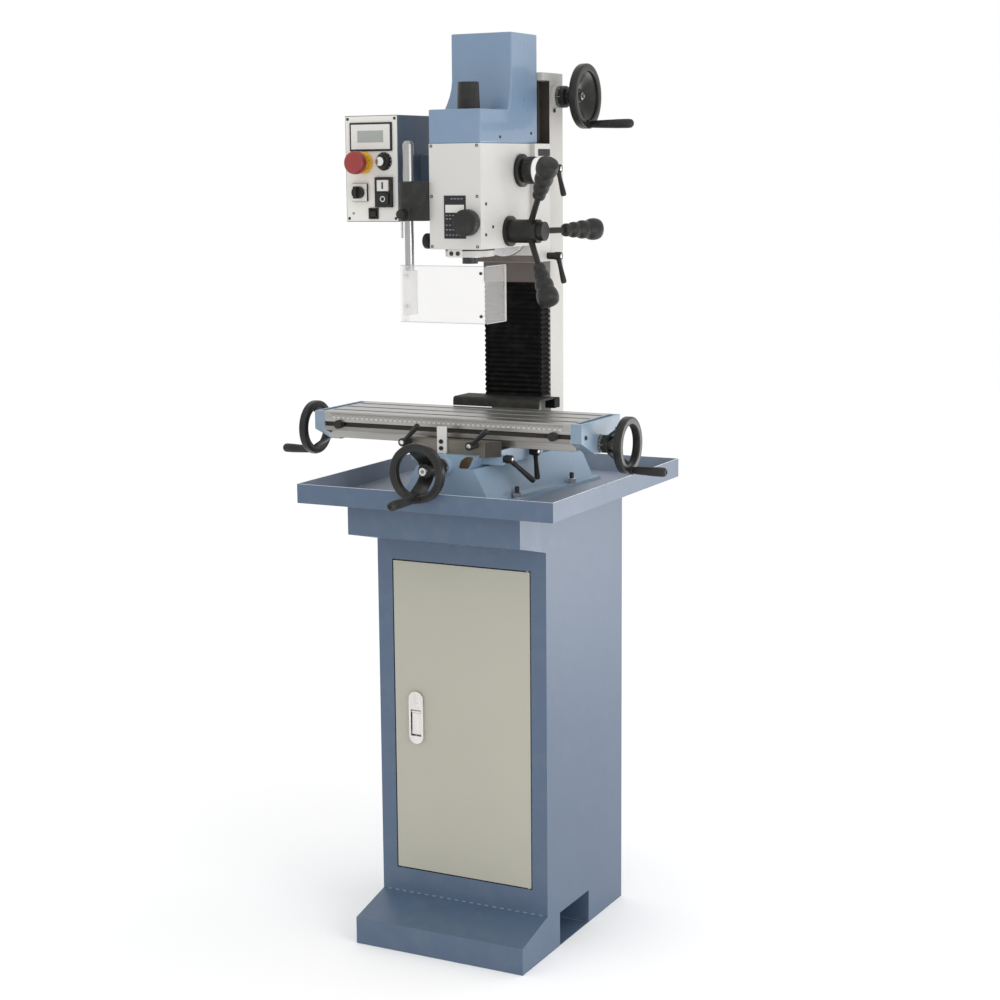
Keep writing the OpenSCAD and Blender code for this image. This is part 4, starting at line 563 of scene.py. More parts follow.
def fillet(points, radius, steps=4, closed=False):
    """The same line of 2-D points with its corners rounded."""
    out = [] if closed else [points[0]]
    count = len(points)
    for i in range(0 if closed else 1, count if closed else count - 1):
        p, a, b = (Vector(points[k % count]) for k in (i, i - 1, i + 1))
        reach = min(radius, 0.48 * (a - p).length, 0.48 * (b - p).length)
        start = p + (a - p).normalized() * reach
        end = p + (b - p).normalized() * reach
        for s in range(steps + 1):
            t = s / steps
            out.append(tuple((1 - t) ** 2 * start + 2 * t * (1 - t) * p + t * t * end))
    return out if closed else out + [points[-1]]


def circle(radius, height, steps, count):
    """The first count of a circle's points, at a height."""
    angles = [2 * math.pi * i / steps for i in range(count)]
    return [point((radius * math.cos(a), radius * math.sin(a), height)) for a in angles]


def lathe(bm, profile, origin, axis, steps=48, ring=False):
    """A turned shape: (radius, height) pairs round an axis from origin. A ring closes on itself."""
    turn = Vector(Z).rotation_difference(Vector(axis)).to_matrix()
    loops = []
    for r, h in profile:
        count = 1 if r < 1e-6 else steps
        loops.append([bm.verts.new(point(origin) + turn @ p) for p in circle(r, h, steps, count)])
    for a, b in zip(loops, loops[1:] + loops[:1] if ring else loops[1:]):
        for i in range(steps):
            j = (i + 1) % steps
            corner = [a[i % len(a)], a[j % len(a)], b[j % len(b)], b[i % len(b)]]
            corner = list(dict.fromkeys(corner))
            if len(corner) > 2:
                bm.faces.new(corner)


def turned(bm, edge, origin, axis, steps=48):
    """A solid turned shape: the edge's ends are closed to the axis."""
    lathe(bm, [(0, edge[0][1])] + list(edge) + [(0, edge[-1][1])], origin, axis, steps)


print("box and lathe ready")

# %% [markdown]
# ## Bars, prisms and screws
# Levers and welds are round bars along a line, and sheets are outlines pushed along an axis. Curve
# objects could do both, but a mesh made here has clean faces from the start.

# %% Tools for bars, prisms and screws


def sweep(bm, path, radii, steps=14):
    """A round bar along 3-D points with a radius at each, closed at its ends."""
    pts = [point(p) for p in path]
    loops = []
    for i, p in enumerate(pts):
        ahead = (pts[min(i + 1, len(pts) - 1)] - pts[max(i - 1, 0)]).normalized()
        turn = ahead.to_track_quat("Z", "Y").to_matrix()
        loops.append([bm.verts.new(p + turn @ q) for q in circle(radii[i], 0, steps, steps)])
    for a, b in zip(loops, loops[1:]):
        for k in range(steps):
            bm.faces.new([a[k], a[(k + 1) % steps], b[(k + 1) % steps], b[k]])
    bm.faces.new(loops[0][::-1])
    bm.faces.new(loops[-1])


def prism(bm, outline, axis, low, high):
    """A prism along axis 0, 1 or 2 from a closed 2-D outline in the two other axes."""
    ends = []
    for level in (low, high):
        ring = []
        for a, b in outline:
            p = [a, b]
            p.insert(axis, level)
            ring.append(bm.verts.new(point(p)))
        ends.append(ring)
    bm.faces.new(ends[0])
    bm.faces.new(ends[1][::-1])
    count = len(outline)
    for i in range(count):
        j = (i + 1) % count
        bm.faces.new([ends[0][i], ends[1][i], ends[1][j], ends[0][j]])


def screw_heads(name, spots, axis, radius, body, mat=DARK, height=2.2, slot="dark_steel"):
    """Socket screws: low cylinders with a rounded rim and a sunk socket."""
    socket, floor_at = radius * 0.45, height * 0.35
    edge = fillet([(socket, floor_at), (socket, height), (radius, height), (radius, 0)], 0.5, 2)

    def build(bm):
        """One head at each spot."""
        for spot in spots:
            turned(bm, edge, spot, axis, 18)

    return piece(name, build, mat, body, slot=slot)


print("modelling tools ready")

# %% [markdown]
# ## Stand and door
# The cabinet is folded and welded sheet under a thick enamel, with a beige door and a bright latch.
# Folded sheet has no sharp edge, so the CAD shapes are kept and get a bevel of under a millimetre.

# %% Dress the stand and door
soften("stand", STAND, 0.9)
soften("door", DOOR, 0.9)
soften("chip_tray", STAND, 0.8)
for node in ("latch_plate", "latch_paddle"):
    soften(node, CHROME, 0.8)
stand_low, stand_high = bounds_of("stand")
door_low = bounds_of("door")[0]
POCKET_HALF, POCKET_INSET = 61.5, 0.2
POCKET_FOOT, POCKET_TOP = 0.1, 0.9


def pocket_floor(bm):
    """The thin sheet that the fork pocket stands on."""
    left, right = stand_low.x + POCKET_INSET, stand_high.x - POCKET_INSET
    box(bm, (left, -POCKET_HALF, POCKET_FOOT), (right, POCKET_HALF, POCKET_TOP))


piece("pocket_floor", pocket_floor, STAND, "frame", slot="stand_blue")
print("stand", round(stand_high.x - stand_low.x), "mm wide")

# %% [markdown]
# ## Toe weld
# Where the toe meets the cabinet the sheets are stitched with short welds. A noise bump could hint at
# them, but a weld stands proud and catches light, so each stitch is a swept bar that swells and thins.
# The beads' enamel is lighter than the stand's: a painted highlight.

# %% Weld the toe
WELD_Z, WELD_R, WELD_STITCHES, WELD_GAP_SHARE, WELD_END = 74.5, 1.7, 21, 0.5, 6
BEAD_STEP_SHARE, BEAD_WAIST_SHARE, BEAD_TIP_SHARE = 0.9, 0.82, 0.5


def stitch(bm, start, end):
    """One run of overlapping beads."""
    beads = max(3, int((end - start).length / (WELD_R * BEAD_STEP_SHARE)))
    last = 2 * beads
    path = [start.lerp(end, k / last) for k in range(last + 1)]
    sizes = [1.0 if k % 2 else BEAD_WAIST_SHARE for k in range(last + 1)]
    sizes[0] = sizes[last] = BEAD_TIP_SHARE
    sweep(bm, path, [WELD_R * size for size in sizes], 8)


def toe_weld(bm):
    """Stitches with gaps along the foot of the cabinet's front."""
    start = Vector((stand_low.x + WELD_END, door_low.y - 0.4, WELD_Z))
    end = Vector((stand_high.x - WELD_END, door_low.y - 0.4, WELD_Z))
    half_gap = WELD_GAP_SHARE / 2
    for i in range(WELD_STITCHES):
        a = start.lerp(end, (i + half_gap) / WELD_STITCHES)
        b = start.lerp(end, (i + 1 - half_gap) / WELD_STITCHES)
        stitch(bm, a, b)


piece("toe_weld", toe_weld, WELD, "frame", slot="stand_blue")
print(WELD_STITCHES, "weld stitches")

# %% [markdown]
# ## Chip tray
# A light grey film on the tray's floor and walls stands for dust from chips and coolant and for
# painted light falling into the tray, and a pale strip along its rim is a painted highlight.
# One material could mix both by height, but separate thin skins keep each finish simple to change.

# %% Film and rim of the tray
tray_low, tray_high = bounds_of("chip_tray")
TRAY_WALL, RIM_WIDE, FILM, FILM_GAP = 2, 1.9, 0.3, 0.1


def tray_film_and_light(bm):
    """The inside of the tray, made lighter for dust and for painted light: its floor, back and left wall."""
    inset = TRAY_WALL + FILM_GAP
    left, right = tray_low.x + inset, tray_high.x - inset
    front, back = tray_low.y + inset, tray_high.y - inset
    floor_z, top = tray_low.z + TRAY_WALL, tray_high.z - 0.6
    box(bm, (left, front, floor_z + 0.02), (right, back, floor_z + 0.25))
    box(bm, (left, back - FILM, floor_z + 0.2), (right, back, top))
    box(bm, (left, front, floor_z + 0.2), (left + FILM, back, top))


def tray_rim_highlight(bm):
    """A painted highlight along the top edge of the tray's walls."""
    foot, top = tray_high.z - 0.3, tray_high.z + 0.1
    for y in (tray_low.y, tray_high.y - RIM_WIDE):
        box(bm, (tray_low.x, y, foot), (tray_high.x, y + RIM_WIDE, top))
    for x in (tray_low.x, tray_high.x - RIM_WIDE):
        box(bm, (x, tray_low.y + RIM_WIDE, foot), (x + RIM_WIDE, tray_high.y - RIM_WIDE, top))


piece("tray_film_and_light", tray_film_and_light, DUSTY_AND_LIT, "frame", slot="stand_blue")
piece("tray_rim_highlight", tray_rim_highlight, RIM, "frame", slot="stand_blue")
print("tray", round(tray_high.x - tray_low.x), "by", round(tray_high.y - tray_low.y), "mm")

# %% [markdown]
# ## Hold-down studs
# Four studs hold the base through the tray to the stand. The threads are rings two millimetres apart:
# a true helix would look the same at this size and cost many more faces.

# %% Studs and nuts
stud_low = bounds_of("hold_down_studs")[0]
STUD_SPOTS = [(side * x, y) for x, y in ((101, -86), (120, 105)) for side in (-1, 1)]
NUT_Z, NUT_TALL, STUD_OUT = 840, 9, 20
STUD_R, THREAD_R, STUD_TIP = 4.4, 3.9, 3.2


def studs(bm):
    """The threaded ends that stand out of the nuts, and the nuts under the stand's top."""
    top = NUT_Z + STUD_OUT
    threads = range(STUD_OUT - NUT_TALL)
    line = [(STUD_R if k % 2 else THREAD_R, NUT_Z + NUT_TALL + k) for k in threads]
    for x, y in STUD_SPOTS:
        turned(bm, [(7.5, 0), (7.5, 8)], (x, y, stud_low.z), Z, 6)
        turned(bm, [(STUD_R, stud_low.z)] + line + [(STUD_TIP, top)], (x, y, 0), Z, 20)


def stud_nuts(bm):
    """A washer and a hexagon nut on each stud."""
    nut = [(7.6, 1.6), (8.4, 2.4), (8.4, 8.2), (7.4, NUT_TALL)]
    for x, y in STUD_SPOTS:
        turned(bm, [(9.5, 0), (9.5, 1.6)], (x, y, NUT_Z), Z, 28)
        turned(bm, nut, (x, y, NUT_Z), Z, 6)


piece("stud_nuts", stud_nuts, STEEL, "frame", slot="dark_steel")
piece("studs_soft", studs, DARK, "frame", ("hold_down_studs",))
print(len(STUD_SPOTS), "studs")

# %% [markdown]
# ## Base and column
# Castings have full, round edges under thick enamel, so their bevels are wider and have more steps.
# Rounding them in the CAD would be slow to change. The boss carries the shaft of the height wheel.

# %% Dress the castings
soften("base", BLUE, 2.5, 3)
# The column and its boss wear the darker copy of the head's white: painted shade.
soften("column", COLUMN_WHITE_SHADED, 2.5, 3)
soften("bellows_apron", APRON, 0.8)
repaint("z_screw", STEEL)
column_high = bounds_of("column")[1]
height_shaft = pivot("z_wheel_turn")
BOSS_R, BOSS_BORE, BOSS_LONG = 22, 8.5, 7
COLUMN_SCREW_Y, COLUMN_SCREW_R = 163, 3.6


def boss(bm):
    """The round boss on the column's right side."""
    edge = fillet([(BOSS_R, 0), (BOSS_R, BOSS_LONG), (BOSS_BORE, BOSS_LONG)], 1.2, 3)
    turned(bm, edge, (column_high.x, height_shaft.y, height_shaft.z), X)


piece("boss_soft", boss, COLUMN_WHITE_SHADED, "frame", ("z_boss",))
column_screws = [(column_high.x, COLUMN_SCREW_Y, z) for z in (1566, 1525)]
screw_heads("column_screws", column_screws, X, COLUMN_SCREW_R, "frame")
print("column", round(column_high.z), "mm high")

# %% [markdown]
# ## Bellows
# A pleated sleeve of coated cloth that covers the ways between the base and the head. It is squeezed
# a little in height, so a small gap is left at each end.

# %% Hang the bellows
BELLOWS_GAP, BELLOWS_EASE, BELLOWS_Y = 0.6, 8, 100
cloth = soften("bellows", RUBBER, 0, rides=False)
cloth_low, cloth_high = bounds_of("bellows")
cloth_tall = cloth_high.z - cloth_low.z
shrink = (cloth_tall - 2 * BELLOWS_GAP) / cloth_tall
for vert in cloth.data.vertices:
    vert.co.z = (cloth_low.z + BELLOWS_GAP) * MM + (vert.co.z - cloth_low.z * MM) * shrink
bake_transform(cloth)
print("bellows", round(cloth_tall), "mm tall at rest")

# %% [markdown]
# ## Way flap and oily ways in painted shade
# A rubber sheet over the cross ways bends down behind the table. Above it the column's dovetail
# ways are bare iron. A near-black skin on them, and on the column's face beside them above the head,
# stands for old oil and for painted shade. A second material on the column would need its faces
# picked one by one, so a thin skin lies on the ways instead.

# %% Flap, wiper and way skin
flap_low, flap_high = bounds_of("way_flap")
FLAP_FRONT, FLAP_FOOT, FLAP_RIGHT, FLAP_THICK = 48, 982.7, 80, 4
FLAP_BEND = 13
WIPER_LOW, WIPER_HIGH = (61, 114, 977), (81, 138, 996)
WAY_HALF, WAY_NECK, WAY_FRONT, WAY_BACK = 50, 40, 112, 144
WAY_LOW, WAY_HIGH, OIL_SHADE_FROM, OIL_SHADE_HALF = 1000, 1578, 1455, 58.4


def flap(bm):
    """The rubber sheet over the ways, bent down in front just clear of the table's top."""
    back, top = flap_high.y, flap_high.z
    under, inside = top - FLAP_THICK, FLAP_FRONT + FLAP_THICK
    outer = fillet([(back, top), (FLAP_FRONT, top), (FLAP_FRONT, FLAP_FOOT)], FLAP_BEND, 6)
    inner = fillet([(back, under), (inside, under), (inside, FLAP_FOOT)], FLAP_BEND - FLAP_THICK, 6)
    prism(bm, outer + inner[::-1], 0, flap_low.x, FLAP_RIGHT)


def way_oil_and_shade(bm):
    """Old oil and painted shade on the dovetail's front and flanks, and beside it above the head."""
    flank = [
        (WAY_HALF + 0.15, WAY_FRONT - 0.1),
        (WAY_HALF + 0.15, WAY_FRONT + 0.2),
        (WAY_NECK + 0.2, WAY_BACK - 0.1),
        (WAY_NECK, WAY_BACK - 0.1),
    ]
    for side in (-1, 1):
        prism(bm, [(side * x, y) for x, y in flank], 2, WAY_LOW, WAY_HIGH)
        inner, outer = side * (WAY_NECK + 0.2), side * OIL_SHADE_HALF
        box(bm, (inner, WAY_BACK - 0.3, OIL_SHADE_FROM), (outer, WAY_BACK - 0.05, WAY_HIGH))
    box(bm, (-WAY_HALF, WAY_FRONT - 0.2, WAY_LOW), (WAY_HALF, WAY_FRONT, WAY_HIGH))


piece("flap_soft", flap, FLAP, "frame", ("way_flap",))
piece("wiper", lambda bm: box(bm, WIPER_LOW, WIPER_HIGH), RUBBER, "frame", slot="black_rubber", round_by=1.5)
piece("way_oil_and_shade", way_oil_and_shade, SOOT_AND_SHADE, "frame", slot="dark_steel")
print("ways covered from", WAY_LOW, "to", WAY_HIGH, "mm")

# %% [markdown]
# ## Cross slide
# The saddle is scraped iron between the base and the table, with blue enamel on its skirts and a
# near-black skin on one corner for old oil and painted shade. The way's end shows as a brown, oily
# patch in front. A painted mask could mix these finishes on one mesh, but thin skins on the faces are
# easier to read and to move.

# %% Dress the saddle
soften("saddle", SADDLE, 0.8)
soften("pointer_bracket", PALE, 0.8)
saddle_low, saddle_high = bounds_of("saddle")
LIP_BACK, LIP_CORNER, LIP_FOOT = -128, 70, 918
SKIRT_FOOT, SKIRT_TOP = 903.1, 929.9
CLAW = [(61, 920), (49, SKIRT_FOOT), (92, SKIRT_FOOT), (92, 920)]
WAY_END = [(28, 899.8), (47.3, 899.8), (53, 910), (58.6, 921.3), (44, 921.3), (33, 914)]
WAY_END_FRONT, WAY_END_BACK = -170.5, -169.8


def saddle_paint(bm):
    """Enamel on the saddle's skirts and on the front of its claws."""
    inner, outer = saddle_high.x - 0.2, saddle_high.x + 0.07
    front, back = LIP_BACK + 0.1, saddle_high.y - 0.1
    for side in (-1, 1):
        box(bm, (side * inner, front, SKIRT_FOOT), (side * outer, back, SKIRT_TOP))
        prism(bm, [(side * x, z) for x, z in CLAW], 1, LIP_BACK - 1.08, LIP_BACK + 0.2)


def saddle_oil_and_shade(bm):
    """Old oil and painted shade on the slanted corner of the lip."""
    deep, proud = 0.4, 0.05
    outline = [
        (LIP_CORNER - deep, saddle_low.y + deep),
        (LIP_CORNER + proud, saddle_low.y - proud),
        (saddle_high.x + proud, LIP_BACK - proud),
        (saddle_high.x - deep, LIP_BACK + deep),
    ]
    prism(bm, outline, 2, LIP_FOOT + 0.1, saddle_high.z - 0.15)


def way_end(bm):
    """The oily bare end of the right-hand way, just inside the way's outline."""
    prism(bm, fillet(WAY_END, 4, 3, True), 1, WAY_END_FRONT, WAY_END_BACK)


piece("saddle_paint", saddle_paint, BLUE, "cross_slide", slot="machine_blue")
piece("saddle_oil_and_shade", saddle_oil_and_shade, SOOT_AND_SHADE, "cross_slide", slot="dark_steel")
piece("way_end", way_end, OILY, "frame", slot="dark_steel", round_by=0.4)
pointer_low, pointer_high = bounds_of("pointer_bracket")
pointer_x = (pointer_low.x + pointer_high.x) / 2
pointer_screws = [(pointer_x, pointer_low.y, z) for z in (931.5, 943.5)]
screw_heads("pointer_screws", pointer_screws, FORWARD, 4.0, "cross_slide", PLASTIC)
print("saddle dressed")

# %% [markdown]
# ## Table and its rule
# The table's front carries a printed rule above the stop groove. An image could show the marks, but
# thin bars of ink stay sharp at any distance: short ones every two millimetres, longer ones every ten
# and every fifty, with small pale bars where the figures are.

# %% Dress the table
soften("table", IRON, 0.6)
# The end brackets wear the darker copy of the machine blue: painted shade.
soften("table_ends", END, 2.2, 3)
soften("table_stops", PLASTIC, 1.0)
table_low, table_high = bounds_of("table")
table_mid = (table_low.x + table_high.x) / 2
rule_z0, rule_z1 = table_high.z - 13, table_high.z - 2.5
print_front, print_back = table_low.y - 0.35, table_low.y - 0.1
MARK_STEP, MARK_HALF, MARK_COUNT = 2, 0.2, 118
FIGURE_STEP, FIGURE_WIDE, FIGURE_COUNT = 10, 1.5, 23


def rule_strip(bm):
    """The bright strip that the rule is printed on."""
    low = (table_low.x + 2, table_low.y - 0.25, rule_z0)
    box(bm, low, (table_high.x - 2, table_low.y + 0.1, rule_z1))


def rule_marks(bm):
    """The rule's marks, by their lengths."""
    for i in range(-MARK_COUNT, MARK_COUNT + 1):
        x = table_mid + MARK_STEP * i
        reach = 7.5 if i % 25 == 0 else 6 if i % 5 == 0 else 3.5
        box(bm, (x - MARK_HALF, print_front, rule_z1 - reach), (x + MARK_HALF, print_back, rule_z1))


def rule_figures(bm):
    """Small pale bars where the rule's figures are."""
    for i in range(-FIGURE_COUNT, FIGURE_COUNT + 1):
        for offset in (-1.7, 1.02):
            x = table_mid + FIGURE_STEP * i + offset
            box(bm, (x, print_front, rule_z0 + 0.6), (x + FIGURE_WIDE, print_back, rule_z0 + 3.6))


piece("rule_figures", rule_figures, PALE, "work_table", slot="bright_steel")
piece("rule_strip", rule_strip, RULE, "work_table", slot="bright_steel")
piece("rule_marks", rule_marks, INK, "work_table", slot="dark_steel")
print(2 * MARK_COUNT + 1, "marks on the rule")

# %% [markdown]
# ## Stop groove and end brackets
# The groove for the table's stops is black inside, and the strip below it is darker. Thin
# skins again save picking out the table's faces. Socket screws hold the end brackets.

# %% Groove, band and bracket screws
GROOVE_DROP, GROOVE_HALF, GROOVE_DEEP = 23, 4, 6
groove_z = table_high.z - GROOVE_DROP
front_edge = (table_low.y + 0.5) * MM
slab_z = min(v.co.z for v in nodes["table"].data.vertices if v.co.y < front_edge) / MM
band_low, band_high = slab_z + 0.5, groove_z - GROOVE_HALF - 0.2
left_x, right_x = table_low.x + 1, table_high.x - 1


def front_band(bm):
    """A darker strip on the table's front below the stop groove."""
    box(bm, (left_x, table_low.y - 0.08, band_low), (right_x, table_low.y + 0.1, band_high))


def groove_floor(bm):
    """The dark bottom of the groove."""
    half, deep = GROOVE_HALF - 0.1, table_low.y + GROOVE_DEEP
    box(bm, (left_x, deep - 0.2, groove_z - half), (right_x, deep, groove_z + half))


piece("front_band", front_band, BAND, "work_table", slot="ground_iron")
piece("groove_floor", groove_floor, SOOT_AND_SHADE, "work_table", slot="dark_steel")
ends_low, ends_high = bounds_of("table_ends")
END_SCREW_Z, END_SCREW_YS, END_SCREW_R = 957, (-106, 27), 4.0
for name, x, way in (("end_screws", ends_high.x, X), ("end_screws_left", ends_low.x, TO_LEFT)):
    spots = [(x, y, END_SCREW_Z) for y in END_SCREW_YS]
    screw_heads(name, spots, way, END_SCREW_R, "work_table", PLASTIC)
print("front band from", round(slab_z, 1), "mm up")

# %% [markdown]
# ## Lead screws
# Two screws drive the table and the saddle. The deep hubs of the handwheels cover their ends, so the
# screws here stop inside the hubs. Ridges two millimetres apart stand for the thread.

# %% Turn the lead screws
HUB_DEEP, PLAIN_END, RIDGE = 26, 39, 0.7
X_SCREW_R, Y_SCREW_R = 6.5, 7
x_low, x_high = bounds_of("x_screw")
y_low, y_high = bounds_of("y_screw")
x_axis = pivot("x_screw_turn")
y_axis = pivot("y_screw_turn")
x_long = x_high.x - x_low.x - 2 * HUB_DEEP
y_long = y_high.y - y_low.y - HUB_DEEP


def lead_screw(bm, start, axis, radius, long):
    """A lead screw: rounded ridges two millimetres apart between plain ends."""
    threads = range(int(long) - 2 * PLAIN_END - 2)
    ridges = [(radius if k % 2 else radius - RIDGE, PLAIN_END + 1 + k) for k in threads]
    line = [(radius, 0), (radius, PLAIN_END)] + ridges + [(radius, long - PLAIN_END), (radius, long)]
    turned(bm, line, start, axis, 20)


def x_screw(bm):
    """The table's screw."""
    lead_screw(bm, (x_low.x + HUB_DEEP, x_axis.y, x_axis.z), X, X_SCREW_R, x_long)


def y_screw(bm):
    """The saddle's screw."""
    lead_screw(bm, (0, y_low.y + HUB_DEEP, y_axis.z), Y, Y_SCREW_R, y_long)


piece("x_screw_soft", x_screw, STEEL, "x_drive", ("x_screw",))
piece("y_screw_soft", y_screw, STEEL, "y_drive", ("y_screw",))
print("screws", round(x_long), "and", round(y_long), "mm long")

# %% [markdown]
# ## Handwheels
# One wheel shape serves all four: a round-section rim, a dished web with two D-shaped windows, a hub
# and a dial ring. The height wheel's web is whole. Cutting the windows with a boolean would leave
# ragged edges, so the web that is left between them is built as a curved strip, front and back.

# %% Shape a handwheel
RIM_DEEP, RIM_HALF, RIM_ROUND = 14, 7.5, 3.5
HUB_R, DIAL_LONG, GRIP_INSET = 14, 16, 6
WEB_HALF, WEB_FLARE, WEB_ROWS, WEB_COLUMNS, WEB_ROUND = 14.0, 5, 36, 7, 1.6


def dish(rho, r, deep, front):
    """How far forward the web's front or back face is at a distance rho from the axis."""
    t = min(1.0, max(0.0, (rho - 12) / (r - 18)))
    t = t * t * (3 - 2 * t)
    if front:
        return -17 - deep + (20 + deep) * t
    return -29 - 0.6 * deep + (25 + 0.6 * deep) * t


def web_face(bm, r, deep, front):
    """Rows of points over one face of the strip between the windows."""
    rows = []
    for i in range(WEB_ROWS + 1):
        z = (2 * i / WEB_ROWS - 1) * (r - 7)
        row = []
        for k in range(WEB_COLUMNS):
            y = (2 * k / (WEB_COLUMNS - 1) - 1) * (WEB_HALF + WEB_FLARE * (abs(z) / r) ** 3)
            inset = WEB_ROUND if k in (0, WEB_COLUMNS - 1) else 0.0
            x = dish(math.hypot(y, z), r, deep, front) + (-inset if front else inset)
            row.append(bm.verts.new(point((x, y, z))))
        rows.append(row)
    return rows


def web_strip(bm, r, deep):
    """The strip of web between the two windows, closed round its edges."""
    face, back = web_face(bm, r, deep, True), web_face(bm, r, deep, False)
    last = WEB_COLUMNS - 1
    for rows in (face, back):
        for a, b in zip(rows, rows[1:]):
            for k in range(last):
                bm.faces.new([a[k], a[k + 1], b[k + 1], b[k]])
    for i in range(WEB_ROWS):
        for k in (0, last):
            bm.faces.new([face[i][k], face[i + 1][k], back[i + 1][k], back[i][k]])
    for i in (0, WEB_ROWS):
        for k in range(last):
            bm.faces.new([face[i][k], face[i][k + 1], back[i][k + 1], back[i][k]])


def web_disc(bm, r, deep):
    """A web with no windows."""
    rings = [12 + (r - 19) * i / 10 for i in range(11)]
    front = [(q, dish(q, r, deep, True)) for q in rings]
    back = [(q, dish(q, r, deep, False)) for q in rings[::-1]]
    lathe(bm, front + back, (0, 0, 0), X, 72, ring=True)


def wheel(bm, r, reach, deep, rim, dial=16, window=True):
    """A handwheel on the X axis: rim round the origin, hub and dial back along -X to reach."""
    inner = rim - RIM_DEEP
    section = [(inner, -RIM_HALF), (rim, -RIM_HALF), (rim, RIM_HALF), (inner, RIM_HALF)]
    lathe(bm, fillet(section, RIM_ROUND, 4, True), (0, 0, 0), X, 72, ring=True)
    if window:
        web_strip(bm, r, deep)
    else:
        web_disc(bm, r, deep)
    foot = DIAL_LONG - reach
    nose = [(5, -9 - deep), (HUB_R - 1, -10 - deep), (HUB_R, -13 - deep), (HUB_R, foot)]
    turned(bm, fillet(nose, 2, 3), (0, 0, 0), X, 40)
    ring = [(dial - 2, foot), (dial, foot - 2), (dial, -reach)]
    turned(bm, fillet(ring, 1, 2), (0, 0, 0), X)
    seat = fillet([(6, 11.5), (8, 11.5), (8, 0)], 1.2, 3)
    lathe(bm, [(0, 11)] + seat + [(0, 0)], (0, 0, GRIP_INSET - r), X, 24)


print("wheel shape ready")

# %% [markdown]
# ## Nuts, dials and grips
# Each wheel has a nut in its hub, a dial with forty marks and a loose grip that turns on its pin. The
# marks could be an image wrapped round the dial, but small bars set round it stay sharp.

# %% Shape the wheel's small pieces
DIAL_MARKS = 40


def hub_nut(bm, deep):
    """The nut that holds a wheel on its shaft."""
    line = fillet([(3.4, -2), (3.4, -4.5), (7.2, -5), (7.8, -10)], 0.8, 2)
    turned(bm, line, (-deep, 0, 0), X, 28)


def dial_marks(bm, reach, dial):
    """Marks round the dial ring, longer at every fifth and tenth."""
    for i in range(DIAL_MARKS):
        long = 8 if i % 10 == 0 else 5.5 if i % 5 == 0 else 3.5
        corners = bmesh.ops.create_cube(bm, size=1.0)["verts"]
        size = Matrix.Diagonal((long * MM, 0.5 * MM, 0.3 * MM, 1))
        move = at(1 - reach + long / 2, 0, dial + 0.05)
        turn = Matrix.Rotation(2 * math.pi * i / DIAL_MARKS, 4, "X")
        bmesh.ops.transform(bm, matrix=turn @ move @ size, verts=corners)


def grip_shape(bm, long):
    """A handwheel's grip on the X axis: a slim cigar with a sunk end."""
    line = [(5.6, 0.2), (6.5, 1.2), (7.3, 0.26 * long), (8.3, 0.62 * long), (8.5, 0.88 * long)]
    line += [(7.6, long - 3), (5.2, long - 0.4), (3.4, long - 0.2), (2.6, long - 2)]
    turned(bm, line, (0, 0, 0), X, 28)


def set_wheel(name, r, reach, deep, grip, place, long, dial=16):
    """Places a wheel's nut, its dial marks and its grip; the drive is named after its axis."""
    body = name[0] + "_drive"
    piece(name + "_nut", lambda bm: hub_nut(bm, deep), NUT, body, slot="bright_steel", place=place)
    marks = mesh_of(name + "_marks", lambda bm: dial_marks(bm, reach, dial), place)
    finish_piece(name + "_marks", marks, PALE, body, slot="bright_steel")
    foot = place @ at(11.5, 0, GRIP_INSET - r)
    piece(grip, lambda bm: grip_shape(bm, long), PLASTIC, body_of[grip], (grip,), place=foot)


print("dial of", DIAL_MARKS, "marks ready")

# %% [markdown]
# ## Fitting the wheels
# Both table wheels sit on one screw and turn together, so they are one piece. The height wheel keeps
# its shaft, which runs into the column. A matrix turns and moves the one shape into each place, so
# nothing is modelled twice.

# %% Fit the four handwheels
FLIP = Matrix.Rotation(math.pi, 4, "Z")
TO_FRONT = Matrix.Rotation(-math.pi / 2, 4, "Z")
WHEEL_SET, WHEEL_R, WHEEL_DEEP = 7.5, 50, 16
X_REACH, X_RIM, X_GRIP = 50.7, 50.5, 62
Y_REACH, Y_RIM, Y_GRIP = 84.7, 52.5, 84
Z_WHEEL_R, Z_REACH, Z_RIM, Z_GRIP, Z_DIAL = 57, 51.6, 59, 84, 20
right = at(x_high.x - WHEEL_SET, x_axis.y, x_axis.z)
left = at(x_low.x + WHEEL_SET, x_axis.y, x_axis.z, FLIP)
front_place = at(y_axis.x, y_axis.y, y_axis.z, TO_FRONT)
height_place = at(height_shaft.x, height_shaft.y, height_shaft.z)


def both_wheels(bm):
    """The two table wheels."""
    copies(bm, lambda part: wheel(part, WHEEL_R, X_REACH, WHEEL_DEEP, X_RIM), (right, left))


def front_wheel(bm):
    """The saddle's wheel."""
    wheel(bm, WHEEL_R, Y_REACH, WHEEL_DEEP, Y_RIM)


def height_wheel(bm):
    """The height wheel with its shaft."""
    wheel(bm, Z_WHEEL_R, Z_REACH, 0, Z_RIM, Z_DIAL, window=False)
    turned(bm, [(8, -30), (8, -77)], (0, 0, 0), X, 32)


piece("x_wheels_soft", both_wheels, WHEEL, "x_drive", ("x_wheels",))
set_wheel("x_right", WHEEL_R, X_REACH, WHEEL_DEEP, "x_grip_right", right, X_GRIP)
set_wheel("x_left", WHEEL_R, X_REACH, WHEEL_DEEP, "x_grip_left", left, X_GRIP)
piece("y_wheel_soft", front_wheel, WHEEL, "y_drive", ("y_wheel",), place=front_place)
set_wheel("y_front", WHEEL_R, Y_REACH, WHEEL_DEEP, "y_grip", front_place, Y_GRIP)
piece("z_wheel_soft", height_wheel, WHEEL, "z_drive", ("z_wheel",), place=height_place)
set_wheel("z_top", Z_WHEEL_R, Z_REACH, 0, "z_grip", height_place, Z_GRIP, Z_DIAL)
print("four handwheels fitted")

